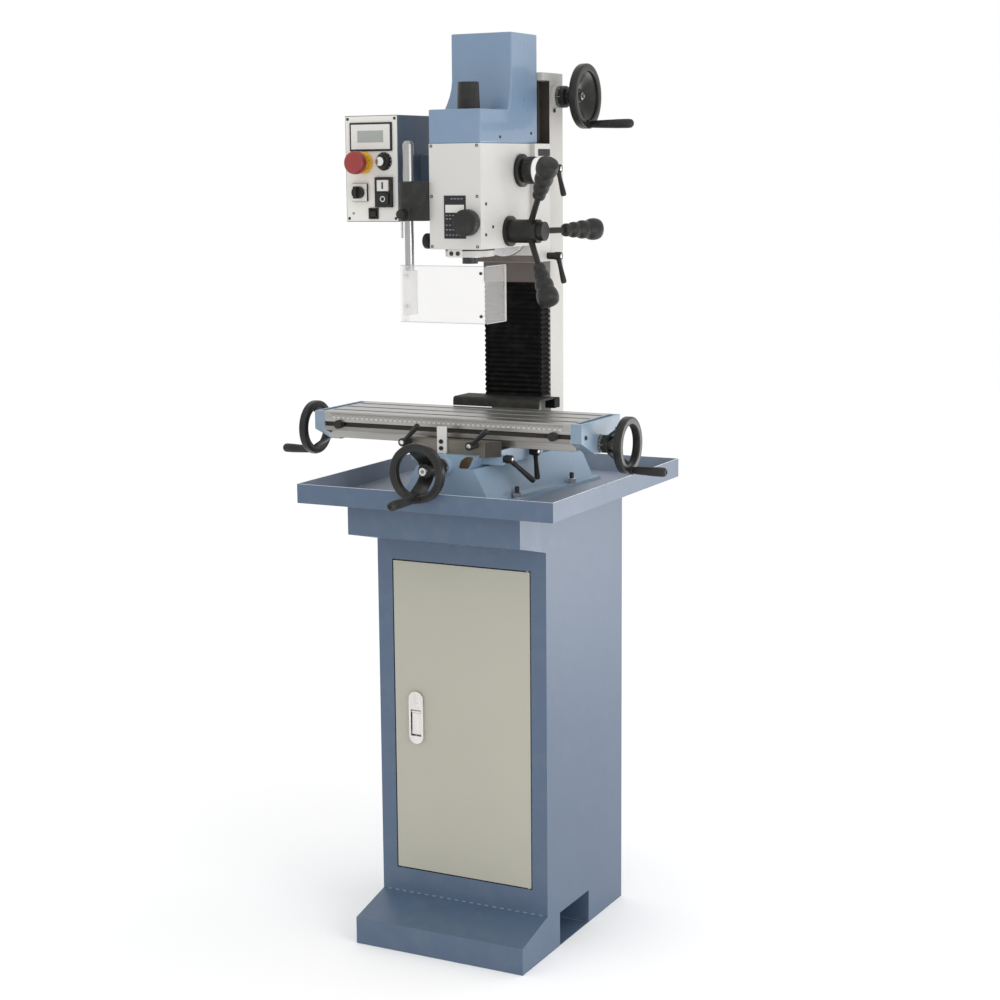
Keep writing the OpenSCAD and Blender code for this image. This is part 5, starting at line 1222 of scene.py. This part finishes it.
# %% [markdown]
# ## Clamp levers
# Six moulded levers lock the slides. Each has a stud, a hub with a bright screw and a waisted arm,
# swept along a line with a radius at each point, that leans away from the machine.

# %% Fit the clamp levers
ARM_SHARES = (0.04, 0.15, 0.31, 0.54, 0.77, 0.92, 0.98, 1)
ARM_RADII = [5.0, 4.6, 4.0, 4.4, 5.1, 5.4, 4.6, 3.0]


def lever_shape(bm, hub, arm, turn, lean):
    """A clamp lever along +X: stud, hub, and an arm turned about X from +Z and leaning out."""
    turned(bm, [(4, 0.1), (4, -8)], (0, 0, 0), X, 20)
    shell = [(6.4, 0.1), (6.4, hub - 15), (7.5, hub - 13), (7.5, hub - 1)]
    shell += [(6, hub), (4.2, hub), (4.2, hub - 1.5)]
    turned(bm, fillet(shell, 1, 2), (0, 0, 0), X, 28)
    spin = Matrix.Rotation(math.radians(turn), 3, "X") @ Matrix.Rotation(math.radians(lean), 3, "Y")
    root = Vector((hub - 7.5, 0, 0))
    path = [root + spin @ Vector((0, 0, arm * share)) for share in ARM_SHARES]
    sweep(bm, path, ARM_RADII, 16)


def lever_screw(bm, hub):
    """The screw in a lever's hub."""
    turned(bm, [(4, hub - 1.8), (4, hub - 0.4), (3.2, hub)], (0, 0, 0), X, 18)


for node, joint, facing, hub, arm, turn, lean in (
    ("x_lock_left", "x_clamp_left_turn", TO_FRONT, 28, 52, -48, 14),
    ("x_lock_right", "x_clamp_right_turn", TO_FRONT, 28, 52, -52, 14),
    ("y_lock_front", "y_clamp_front_turn", None, 17, 64, -140, 30),
    ("y_lock_rear", "y_clamp_rear_turn", None, 17, 52, 160, 14),
    ("z_lock_upper", "z_clamp_upper_turn", None, 28, 52, 180, 14),
    ("z_lock_lower", "z_clamp_lower_turn", None, 28, 52, 180, 14),
):
    place, body = at(*pivot(joint), facing), body_of[node]
    shape = mesh_of(node + "_soft", lambda bm: lever_shape(bm, hub, arm, turn, lean), place)
    finish_piece(node + "_soft", shape, PLASTIC, body, (node,))
    screw = mesh_of(node + "_screw", lambda bm: lever_screw(bm, hub), place)
    finish_piece(node + "_screw", screw, CHROME, body, slot="bright_steel")
print("six clamp levers fitted")

# %% [markdown]
# ## Head
# The head is a white casting with a screwed front plate, on a slide that climbs the column. The CAD
# shapes are right already, so they only get rounder edges, and the screws are set on as small pieces.

# %% Dress the head
soften("head", WHITE, 2.0, 3)
soften("head_front", WHITE, 1.2)
soften("z_slide", WHITE, 1.6)
soften("gear_panel", INK, 0.2)
head_high = bounds_of("head")[1]
face_low, face_high = bounds_of("head_front")
FACE_SCREW_XS = (-46.5, 44)
FACE_SCREW_ZS = (face_low.z + 5, face_low.z + 92.5, face_high.z - 4)
SIDE_PLUGS = [(50.6, -100, 1359.5), (50.6, -74, 1319), (50.6, -101, 1306)]
COVER_SCREWS = [(50.8, -43.5, 1475.5), (50.8, 81.5, 1483)]
face_screws = [(x, face_low.y + 0.6, z) for x in FACE_SCREW_XS for z in FACE_SCREW_ZS]
screw_heads("face_screws", face_screws, FORWARD, 2.8, "mill_head", height=1.2)
screw_heads("side_plugs", SIDE_PLUGS, X, 3.0, "mill_head", height=1.4)
screw_heads("cover_screws", COVER_SCREWS, X, 2.6, "mill_head", height=1.4)
print(len(face_screws), "screws in the front plate")

# %% [markdown]
# ## Fittings under and beside the head
# A tag, a pale scale block, the round flange that the head tilts on and a black knob. Each is a plain
# box or a turned shape, so `plate` and `turned` make them in a line or two.

# %% Fit the small pieces of the head
SNOUT = (0, -65, 1277.3)
SNOUT_SHADOW_LINE = [(42, 0), (44.2, 0), (44.2, 3.2), (42, 3.2)]
SWIVEL_FOOT, SIDE_KNOB_FOOT = (0, 78, 1310.4), (-51, -65, 1293)
SCALE_SCREWS = [(-12.5, -112, 1273), (0.5, -112, 1273)]


def plate(name, low, high, mat, body, slot, round_by=0.0):
    """A plain piece that fills the box between two corners."""
    return piece(name, lambda bm: box(bm, low, high), mat, body, slot=slot, round_by=round_by)


def swivel(bm):
    """The round flange that the head tilts on; its foot shows under the head."""
    turned(bm, fillet([(50, 0), (50, 11), (46, 12)], 0.8, 2), SWIVEL_FOOT, FORWARD, 72)


def snout_shadow_line(bm):
    """A dark ring round the top of the spindle's snout: a painted shadow under the head's edge."""
    lathe(bm, SNOUT_SHADOW_LINE, SNOUT, Z, 56, ring=True)


def side_knob(bm):
    """A black knob on a short stem at the head's left."""
    rim = fillet([(13, 27), (14, 30), (14, 38), (12, 40)], 1.5, 3)
    turned(bm, [(6, 0), (6, 26)] + rim, SIDE_KNOB_FOOT, TO_LEFT, 36)


plate("rear_tag", (59.9, 92, 1442.5), (60.5, 141.5, 1455), INK, "mill_head", "panel_dark", 0.2)
# A dark sheet on the slide's front under the swivel flange is painted shade.
plate("slide_foot_shade", (-59.5, 77.7, 1250), (59.5, 78, 1262), APRON, "mill_head", "dark_steel")
piece("swivel", swivel, STEEL, "mill_head", slot="bright_steel")
# The near-black ring at the top of the snout is a painted shadow under the head's edge.
piece("snout_shadow_line", snout_shadow_line, SOOT_AND_SHADE, "mill_head", slot="dark_steel")
plate("scale_block", (-20.5, -112, 1266.3), (7.5, -100, 1280.4), PALE, "mill_head", "bright_steel", 0.8)
screw_heads("scale_screws", SCALE_SCREWS, FORWARD, 4.0, "mill_head", height=1.2)
piece("side_knob", side_knob, PLASTIC, "mill_head", slot="black_plastic")
print("head fittings made")

# %% [markdown]
# ## Print on the gear panel
# The dark panel has a pale window and rows of small print. An image could carry the words, but at
# this size nobody reads them, so short bars in rows stand for the print and stay sharp close up.

# %% Print the gear panel
WINDOW_LOW, WINDOW_HIGH = (-18.5, -121.35, 1345), (18.5, -120.9, 1358.5)
PRINT_FRONT, PRINT_BACK, PRINT_TALL = -121.3, -120.9, 2
WORD_STEP, WORD_WIDE = 6.5, 4.4
PRINT_ROWS = ((1368, -8, 4), (1339, -18, 3), (1333, -18, 2), (1322, -18, 2), (1314, -18, 3), (1305, -18, 5))


def gear_print(bm):
    """Rows of short bars; every other row's bars are a millimetre shorter."""
    for row, (z, start, count) in enumerate(PRINT_ROWS):
        for k in range(count):
            x = start + WORD_STEP * k
            box(bm, (x, PRINT_FRONT, z), (x + WORD_WIDE - row % 2, PRINT_BACK, z + PRINT_TALL))


plate("gear_window", WINDOW_LOW, WINDOW_HIGH, PALE, "mill_head", "panel_white")
piece("gear_print", gear_print, GREY, "mill_head", slot="panel_white")
print(len(PRINT_ROWS), "rows of print")

# %% [markdown]
# ## Belt cover
# One blue moulded skin covers the belt and the motor, and its tower has a foot that flares in a curve.
# Moving single corners by hand would be hard to repeat, so a box and a tower built from rings are
# joined by a boolean. Flat seams are then dissolved, so the bevel sees only true edges.

# %% Mould the belt cover
cover_low, cover_high = bounds_of("belt_cover")
ROOF = head_high.z + 59
BELT_LEFT, BELT_FRONT = -51, -120
FLARE, TOWER_FRONT = 11, 2.0
TOWER_CURVE = ((12, 7.2), (26, 3.4), (40, 1.0), (54, 0))
SEAM_WELD = 1e-5


def belt_part(bm):
    """The low box over the belt."""
    box(bm, (BELT_LEFT, BELT_FRONT, head_high.z), (cover_high.x, cover_high.y, ROOF))


def tower_part(bm):
    """The tower: a flared foot on its left and front that narrows in a curve to upright walls."""
    left = cover_low.x + FLARE
    levels = [(head_high.z, FLARE), (ROOF, FLARE)]
    levels += [(ROOF + up, out) for up, out in TOWER_CURVE]
    levels.append((cover_high.z, 0))
    rings = []
    for z, out in levels:
        x, y = left - out, TOWER_FRONT - out
        corners = ((x, y), (cover_high.x, y), (cover_high.x, cover_high.y), (x, cover_high.y))
        rings.append([bm.verts.new(point((*corner, z))) for corner in corners])
    bm.faces.new(rings[0][::-1])
    bm.faces.new(rings[-1])
    for a, b in zip(rings, rings[1:]):
        for i in range(4):
            bm.faces.new([a[i], a[(i + 1) % 4], b[(i + 1) % 4], b[i]])


def solid(name, build):
    """An object for the boolean, removed again after the join."""
    obj = bpy.data.objects.new(name, mesh_of(name, build))
    scene.collection.objects.link(obj)
    return obj


skin = solid("belt_part", belt_part)
upper = solid("tower_part", tower_part)
union = skin.modifiers.new("join", "BOOLEAN")
union.operation = "UNION"
union.object = upper
bpy.context.view_layer.update()
joined = bpy.data.meshes.new_from_object(skin.evaluated_get(bpy.context.evaluated_depsgraph_get()))
for part in (skin, upper):
    bpy.data.objects.remove(part)
flat = bmesh.new()
flat.from_mesh(joined)
bmesh.ops.remove_doubles(flat, verts=flat.verts, dist=SEAM_WELD)
bmesh.ops.dissolve_limit(flat, angle_limit=FLAT_ANGLE, verts=flat.verts, edges=flat.edges)
flat.to_mesh(joined)
flat.free()
finish_piece("cover_soft", joined, COVER, "mill_head", ("belt_cover",), round_by=2.6, steps=4)
print("cover has", len(joined.polygons), "faces before its bevel")

# %% [markdown]
# ## Cap and fluted knobs
# The drawbar's cap is a low turned cup. The knobs have fluted rims for the fingers. Cutting each flute
# with a boolean would be slow, so `knob_shape` lets the radius wave round the axis instead.

# %% Cap and gear knob
CAP_DIP = 3
gear_at = pivot("gear_select")
GEAR_FOOT = (gear_at.x, gear_at.y - 1.3, gear_at.z)
FLUTE_STEPS = 6


def cap_shape(bm):
    """The cap over the drawbar, with a sunk top."""
    low, high = bounds_of("drawbar_cap")
    tall = high.z - low.z
    line = [(20.5, 0), (19.6, tall * 0.5), (18.5, tall), (15.5, tall), (15.5, tall - CAP_DIP)]
    turned(bm, fillet(line, 1.2, 3), (0, (low.y + high.y) / 2, low.z), Z, 56)


def knob_shape(bm, r, tall, flutes, origin, axis, dip=0.6):
    """A knob with a fluted rim; each row is a radius, a height and a share of the wave."""
    turn = Vector(Z).rotation_difference(Vector(axis)).to_matrix()
    steps = flutes * FLUTE_STEPS
    rows = [(r * 0.97, 0.0, 0.2), (r, 0.8, 1), (r, tall - 2.4, 1)]
    rows += [(r - 0.8, tall - 0.7, 0.6), (r - 2.4, tall, 0.1), (r * 0.55, tall, 0)]
    loops = []
    for radius, h, wave in rows:
        loop = []
        for i in range(steps):
            a = 2 * math.pi * i / steps
            q = radius - dip * wave * (0.5 - 0.5 * math.cos(flutes * a))
            spot = point((q * math.cos(a), q * math.sin(a), h))
            loop.append(bm.verts.new(point(origin) + turn @ spot))
        loops.append(loop)
    for a, b in zip(loops, loops[1:]):
        for i in range(steps):
            bm.faces.new([a[i], a[(i + 1) % steps], b[(i + 1) % steps], b[i]])
    bm.faces.new(loops[0][::-1])
    bm.faces.new(loops[-1])


def gear_shape(bm):
    """The gear knob and its stem."""
    knob_shape(bm, 23.2, 20, 30, GEAR_FOOT, FORWARD, 0.5)
    turned(bm, [(5, 0), (5, -7)], GEAR_FOOT, FORWARD, 24)


piece("cap_soft", cap_shape, PLASTIC, "mill_head", ("drawbar_cap",))
repaint("motor", DARK)
piece("gear_knob_soft", gear_shape, PLASTIC, "gear_selector", ("gear_knob",))
print("cap and gear knob made")

# %% [markdown]
# ## Quill feed
# Three levers lower the quill. Their grips are stacks of rounded beads that grow towards the end. A
# carved mesh would need many loops, while one turned line with four soft waists gives the same shape.

# %% Turn the feed grips
repaint("quill", STEEL)
repaint("spindle", DARK)
soften("feed_hub", WHEEL, 1.0)
ARM_OUT, ARM_LEAN = 29.7, math.radians(28)
ARM_ANGLES = (0, 120, 240)
GRIP_LONG, GRIP_FOOT, GRIP_R = 82, 77.7, 20
BEAD_STARTS, BEAD_SIZES = (0, 0.18, 0.4, 0.66, 1), (0.6, 0.72, 0.84, 1)
BEAD_WAIST, BEAD_POWER = 0.72, 0.42
feed_at = pivot("feed_turn")


def bead_grip(bm):
    """Four beads along +Z, from slim to broad, with soft waists."""
    line = [(0, 0), (7, 0)]
    for i, size in enumerate(BEAD_SIZES):
        low, high = GRIP_LONG * BEAD_STARTS[i], GRIP_LONG * BEAD_STARTS[i + 1]
        for k in range(1, 10):
            t = k / 10
            waist = BEAD_WAIST + (1 - BEAD_WAIST) * math.sin(math.pi * t) ** BEAD_POWER
            line.append((GRIP_R * size * waist, low + (high - low) * t))
    line += [(GRIP_R * 0.66, GRIP_LONG - 0.4), (0, GRIP_LONG)]
    lathe(bm, line, (0, 0, GRIP_FOOT), Z, 32)


def arm_place(angle):
    """Where one lever's arm starts, turned about the hub and leaning out."""
    turn = Matrix.Rotation(math.radians(angle - 90), 4, "X") @ Matrix.Rotation(ARM_LEAN, 4, "Y")
    return at(feed_at.x + ARM_OUT, feed_at.y, feed_at.z, turn)


def all_grips(bm):
    """The three grips."""
    copies(bm, bead_grip, [arm_place(angle) for angle in ARM_ANGLES])


piece("feed_grips_soft", all_grips, PLASTIC, "feed_lever", ("feed_grips",), angle=60)
print(len(ARM_ANGLES), "feed grips")

# %% [markdown]
# ## Fine feed
# A fluted knob on a stepped flange, with a pale dial on its face, lowers the quill slowly. One turned
# line could make it all, but only the grip is fluted, so flange, grip and dial are made apart.

# %% Fine feed knob and dial
fine_at = pivot("fine_feed_turn")
FINE_FOOT = (head_high.x + 0.3, fine_at.y, fine_at.z)
FINE_KNOB = (head_high.x + 13.3, fine_at.y, fine_at.z)
FINE_STEM = [(6, -20), (6, 0)]
FINE_FLANGE = [(28.5, 0), (29.5, 1), (29.5, 6), (27, 8), (17, 8), (17, 13)]
FINE_DIAL = [(22.6, 31), (22.6, 32.4), (21.6, 33), (14, 33)]


def fine_shape(bm):
    """The stem, the flange and the knob."""
    turned(bm, FINE_STEM + FINE_FLANGE, FINE_FOOT, X, 56)
    knob_shape(bm, 24.5, 18.6, 20, FINE_KNOB, X, 0.7)


def fine_dial(bm):
    """The dial on the knob's face."""
    turned(bm, fillet(FINE_DIAL, 0.4, 2), FINE_FOOT, X, 56)


piece("fine_knob_soft", fine_shape, PLASTIC, "fine_feed", ("fine_knob",))
piece("fine_dial", fine_dial, PALE, "fine_feed", slot="bright_steel")
soften("spring_housing", PLASTIC, 1.2)
print("fine feed made")

# %% [markdown]
# ## Control box
# A dark blue box with a white printed front and a display. The rocker switch tips into the panel, so
# the panel is built with a hole from two rings of corners: a boolean could cut it, but four strips of
# faces are cleaner for the bevel.

# %% Panel and display
soften("control_box", BOX, 1.4)
panel_low, panel_high = bounds_of("control_panel")
rocker_low, rocker_high = bounds_of("rocker")
PANEL_Y, PANEL_THICK, PANEL_INSET, PANEL_STEP = -80.0, 3, 1.2, 0.8
ROCKER_ROOM, PANEL_SCREW_IN, PLUG_IN = 1.5, 6, 15
panel_mid = (panel_low.x + panel_high.x) / 2
screen_z = panel_high.z - 38


def ring_of(left, foot, right, top):
    """The corners of a rectangle in X and Z."""
    return [(left, foot), (right, foot), (right, top), (left, top)]


def holed_plate(bm, inset, front, back):
    """A plate over the panel, set in from its outline, with a hole that the rocker tips into."""
    outer = ring_of(panel_low.x + inset, panel_low.z + inset, panel_high.x - inset, panel_high.z - inset)
    inner = ring_of(
        rocker_low.x - ROCKER_ROOM, rocker_low.z - ROCKER_ROOM,
        rocker_high.x + ROCKER_ROOM, rocker_high.z + ROCKER_ROOM)
    loops = []
    for y in (front, back):
        for ring in (outer, inner):
            loops.append([bm.verts.new(point((x, y, z))) for x, z in ring])
    for a, b in ((0, 1), (1, 3), (3, 2), (2, 0)):
        for i in range(4):
            j = (i + 1) % 4
            bm.faces.new([loops[a][i], loops[a][j], loops[b][j], loops[b][i]])


def panel_plate(bm):
    """The white front."""
    holed_plate(bm, PANEL_INSET, PANEL_Y, PANEL_Y + PANEL_THICK)


def panel_edge(bm):
    """The blue edge round the white front, a little further back."""
    holed_plate(bm, 0, PANEL_Y + PANEL_STEP, PANEL_Y + PANEL_THICK)


def screen(name, half, y0, y1, down, up, mat, slot, round_by=0.0):
    """A plate centred on the display."""
    low = (panel_mid - half, PANEL_Y + y0, screen_z - down)
    high = (panel_mid + half, PANEL_Y + y1, screen_z + up)
    plate(name, low, high, mat, "mill_head", slot, round_by)


piece("panel_soft", panel_plate, PANEL, "mill_head", ("control_panel",), round_by=0.5)
piece("panel_edge", panel_edge, BOX, "mill_head", slot="box_blue", round_by=0.5)
screen("bezel", 44, -3, 0.5, 25.5, 25.5, PLASTIC, "black_plastic", 1.0)
screen("bezel_face", 40.5, -3.3, -2.6, 22, 22, PALE, "panel_white", 0.2)
screen("display", 27, -3.5, -3, 10, 11, GLASS, "panel_dark")
screw_xs = (panel_low.x + PANEL_SCREW_IN, panel_high.x - PANEL_SCREW_IN)
screw_zs = (panel_low.z + PANEL_SCREW_IN, panel_high.z - PANEL_SCREW_IN)
panel_screws = [(x, PANEL_Y + 0.4, z) for x in screw_xs for z in screw_zs]
panel_plug = [(panel_low.x + PLUG_IN, PANEL_Y + 0.4, panel_low.z + PLUG_IN)]
screw_heads("panel_screws", panel_screws, FORWARD, 2.8, "mill_head", height=1.2)
screw_heads("panel_plug", panel_plug, FORWARD, 2.2, "mill_head", height=0.9)
print("panel", round(panel_high.x - panel_low.x), "by", round(panel_high.z - panel_low.z), "mm")

# %% [markdown]
# ## Emergency stop
# A red mushroom head on a ribbed yellow ring. Both are turned shapes. A bump could draw the ribs but
# would not show on the outline, so sixteen short round bars are set in the ring's wall.

# %% Emergency stop and its ring
STOP_X, STOP_Z, STOP_FOOT = -208.5, 1433.6, -93.1
RIB_COUNT, RIB_R, RIB_OUT, RIB_TALL = 16, 2.4, 15.2, 14
RING_WALL = [(11.2, 0), (20, 0), (20, 2), (16, 4), (15.4, RIB_TALL), (11.2, RIB_TALL)]
MUSHROOM = [(11, 8), (18.5, 8), (20.6, 10.5), (20.6, 22), (17, 25.8), (8, 27)]


def stop_ring(bm):
    """The yellow ring with its ribs."""
    for i in range(RIB_COUNT):
        a = 2 * math.pi * i / RIB_COUNT
        spot = (STOP_X + RIB_OUT * math.cos(a), PANEL_Y + 0.2, STOP_Z + RIB_OUT * math.sin(a))
        turned(bm, [(RIB_R, 0), (RIB_R, RIB_TALL)], spot, FORWARD, 10)
    lathe(bm, RING_WALL, (STOP_X, PANEL_Y + 0.1, STOP_Z), FORWARD, 48, ring=True)


def mushroom(bm):
    """The red head on its stem, with a slightly domed top."""
    line = [(0, -19), (11, -19)] + fillet(MUSHROOM, 2.2, 4) + [(0, 27.2)]
    lathe(bm, line, (STOP_X, STOP_FOOT, STOP_Z), FORWARD, 56)


piece("stop_ring", stop_ring, YELLOW, "mill_head", slot="stop_red")
piece("stop_soft", mushroom, RED, "emergency_stop", ("estop",))
print(RIB_COUNT, "ribs on the stop's ring")

# %% [markdown]
# ## Speed dial
# A two-step fluted knob with a bright cap, on a dark disc with eleven pale dots. The dots stay on the
# panel when the knob turns, so they are a piece of their own.

# %% Speed dial
speed_at = pivot("speed_turn")
SPEED_FOOT = (speed_at.x, PANEL_Y - 0.3, speed_at.z)
DOT_COUNT, DOT_OUT, DOT_R, DOT_FROM, DOT_STEP = 11, 14.7, 0.8, 225, 27


def speed_shape(bm):
    """The two fluted steps and the stem."""
    knob_shape(bm, 13, 10, 18, SPEED_FOOT, FORWARD, 0.6)
    knob_shape(bm, 10, 16, 14, SPEED_FOOT, FORWARD, 0.5)
    turned(bm, [(3, 0), (3, -5)], SPEED_FOOT, FORWARD, 20)


def speed_cap(bm):
    """The bright cap."""
    turned(bm, [(8, 15.6), (8, 16.3), (7.4, 16.8)], SPEED_FOOT, FORWARD, 32)


def speed_scale(bm):
    """The dots round the knob."""
    for i in range(DOT_COUNT):
        a = math.radians(DOT_FROM - DOT_STEP * i)
        spot = (speed_at.x + DOT_OUT * math.cos(a), PANEL_Y - 0.05, speed_at.z + DOT_OUT * math.sin(a))
        turned(bm, [(DOT_R, 0), (DOT_R, 0.3)], spot, FORWARD, 8)


def speed_plate(bm):
    """The dark disc under the knob."""
    turned(bm, [(16.5, 0), (16.5, 0.2)], (speed_at.x, PANEL_Y + 0.02, speed_at.z), FORWARD, 48)


piece("speed_soft", speed_shape, PLASTIC, "speed_dial", ("speed_knob",))
piece("speed_cap", speed_cap, CHROME, "speed_dial", slot="bright_steel")
piece("speed_scale", speed_scale, PALE, "mill_head", slot="panel_white")
piece("speed_plate", speed_plate, INK, "mill_head", slot="panel_dark")
print(DOT_COUNT, "dots on the speed scale")

# %% [markdown]
# ## Switches and buttons
# A direction switch on a white plate, a start and a stop button and the rocker. The CAD shapes keep
# their size and get soft edges; the buttons' marks, a bar and a ring, ride on the buttons.

# %% Switches and buttons
soften("switch_frames", PLASTIC, 0.9)
lower_z = pivot("direction_turn").z
TURN_LEFT, TURN_RIGHT, TURN_HALF = -231, -200, 15.5
TURN_FRONT, TURN_BACK = -85.5, -84.9
turn_low = (TURN_LEFT, TURN_FRONT, lower_z - TURN_HALF)
turn_high = (TURN_RIGHT, TURN_BACK, lower_z + TURN_HALF)
plate("turn_plate", turn_low, turn_high, PANEL, "mill_head", "panel_white", 0.3)
for node, mat, round_by in (
    ("direction_knob", PLASTIC, 1.2),
    ("start_button", PALE, 1.0),
    ("stop_button", PLASTIC, 1.0),
    ("rocker", PLASTIC, 0.6),
):
    soften(node, mat, round_by)
BAR_HALF, BAR_FOOT, BAR_TOP, BAR_FRONT, BAR_BACK = 1.6, 6, 18, -88.3, -87.8
RING_MARK, RING_DROP, RING_FOOT = [(3.6, 0), (5.2, 0), (5.2, 0.3), (3.6, 0.3)], 12, -87.95
bar_low = (speed_at.x - BAR_HALF, BAR_FRONT, lower_z + BAR_FOOT)
bar_high = (speed_at.x + BAR_HALF, BAR_BACK, lower_z + BAR_TOP)


def stop_mark(bm):
    """The ring on the stop button."""
    lathe(bm, RING_MARK, (speed_at.x, RING_FOOT, lower_z - RING_DROP), FORWARD, 32, ring=True)


plate("start_mark", bar_low, bar_high, INK, "start", "black_plastic")
piece("stop_mark", stop_mark, PALE, "stop", slot="button_white")
print("switches and buttons made")

# %% [markdown]
# ## Guard rod and clamp
# The chip guard hangs on a polished rod in a black clamp with a thumb knob. The rod is one turned
# line, thicker above the clamp and chamfered at its top; a stack of cylinders would need joining.

# %% Rod, clamp and thumb knob
soften("guard_clamp", PLASTIC, 1.6)
clamp_low, clamp_high = bounds_of("guard_clamp")
rod_low, rod_high = bounds_of("guard_rod")
rod_at = pivot("guard_swing")
thumb_at = pivot("guard_screw_turn")
THUMB_FOOT = (thumb_at.x, clamp_low.y - 0.3, thumb_at.z)
ROD_R, COLLAR_R, ROD_TIP_R, ROD_TIP = 8, 10, 6, 6
PIN_X, PIN_ZS, PIN_RADII = -107.5, (1331, 1316, 1300), [2.2, 2.2, 2.0]


def guard_thumb(bm):
    """The thumb knob and its stem."""
    knob_shape(bm, 8.8, 16, 14, THUMB_FOOT, FORWARD, 0.5)
    turned(bm, [(3, 0), (3, -8)], THUMB_FOOT, FORWARD, 20)


def rod_shape(bm):
    """The rod, thicker above its clamp, with a chamfered top."""
    long = rod_high.z - rod_low.z
    collar = clamp_high.z + 0.3 - rod_low.z
    line = [(ROD_R, 0), (ROD_R, collar), (COLLAR_R, collar + 1)]
    line += [(COLLAR_R, long - ROD_TIP), (ROD_TIP_R, long)]
    turned(bm, line, (rod_at.x, rod_at.y, rod_low.z), Z, 40)


def pin(bm):
    """The pin beside the clamp."""
    sweep(bm, [(PIN_X, rod_at.y, z) for z in PIN_ZS], PIN_RADII, 12)


piece("guard_knob_soft", guard_thumb, PLASTIC, "guard_screw", ("guard_knob",))
piece("rod_soft", rod_shape, ROD, "guard", ("guard_rod",), angle=30)
piece("clamp_pin", pin, STEEL, "mill_head", slot="bright_steel")
print("rod", round(rod_high.z - rod_low.z), "mm long")

# %% [markdown]
# ## Guard sheet
# A clear sheet folded round the tool and bolted to a milky block. A bent sheet shows its cut edges
# darker than its faces. The alpha of one material can't do that, so thin bars lie along the edges.

# %% Sheet, block and bolts
BLOCK_LOW, BLOCK_HIGH = (-102.5, -130, rod_low.z), (-83.5, -108, 1243)
SHEET_THICK, EDGE_BAR = 3, 1
BOLT_Y = -133


def sheet_edges(bm):
    """The cut edges of the sheet."""
    low, high = bounds_of("guard_shield")
    inner = high.x - SHEET_THICK
    for z in (low.z, high.z - EDGE_BAR):
        box(bm, (low.x, low.y, z), (high.x, low.y + SHEET_THICK, z + EDGE_BAR))
        box(bm, (inner, low.y, z), (high.x, high.y, z + EDGE_BAR))
    box(bm, (inner, high.y - EDGE_BAR, low.z), (high.x, high.y, high.z))


plate("rod_block", BLOCK_LOW, BLOCK_HIGH, MILKY, "guard", "shield_clear", 1.0)
soften("guard_shield", CLEAR, 1.2)
piece("sheet_edges", sheet_edges, EDGE, "guard", slot="shield_clear")
guard_bolts = [(57, BOLT_Y, z) for z in (1240, 1165)]
block_bolts = [(rod_at.x, BOLT_Y, z) for z in (1235, 1180)]
screw_heads("guard_bolts", guard_bolts, FORWARD, 2.8, "guard", height=2.4)
screw_heads("block_bolts", block_bolts, FORWARD, 3.0, "guard", CHROME, height=2.4, slot="bright_steel")
print("guard made")
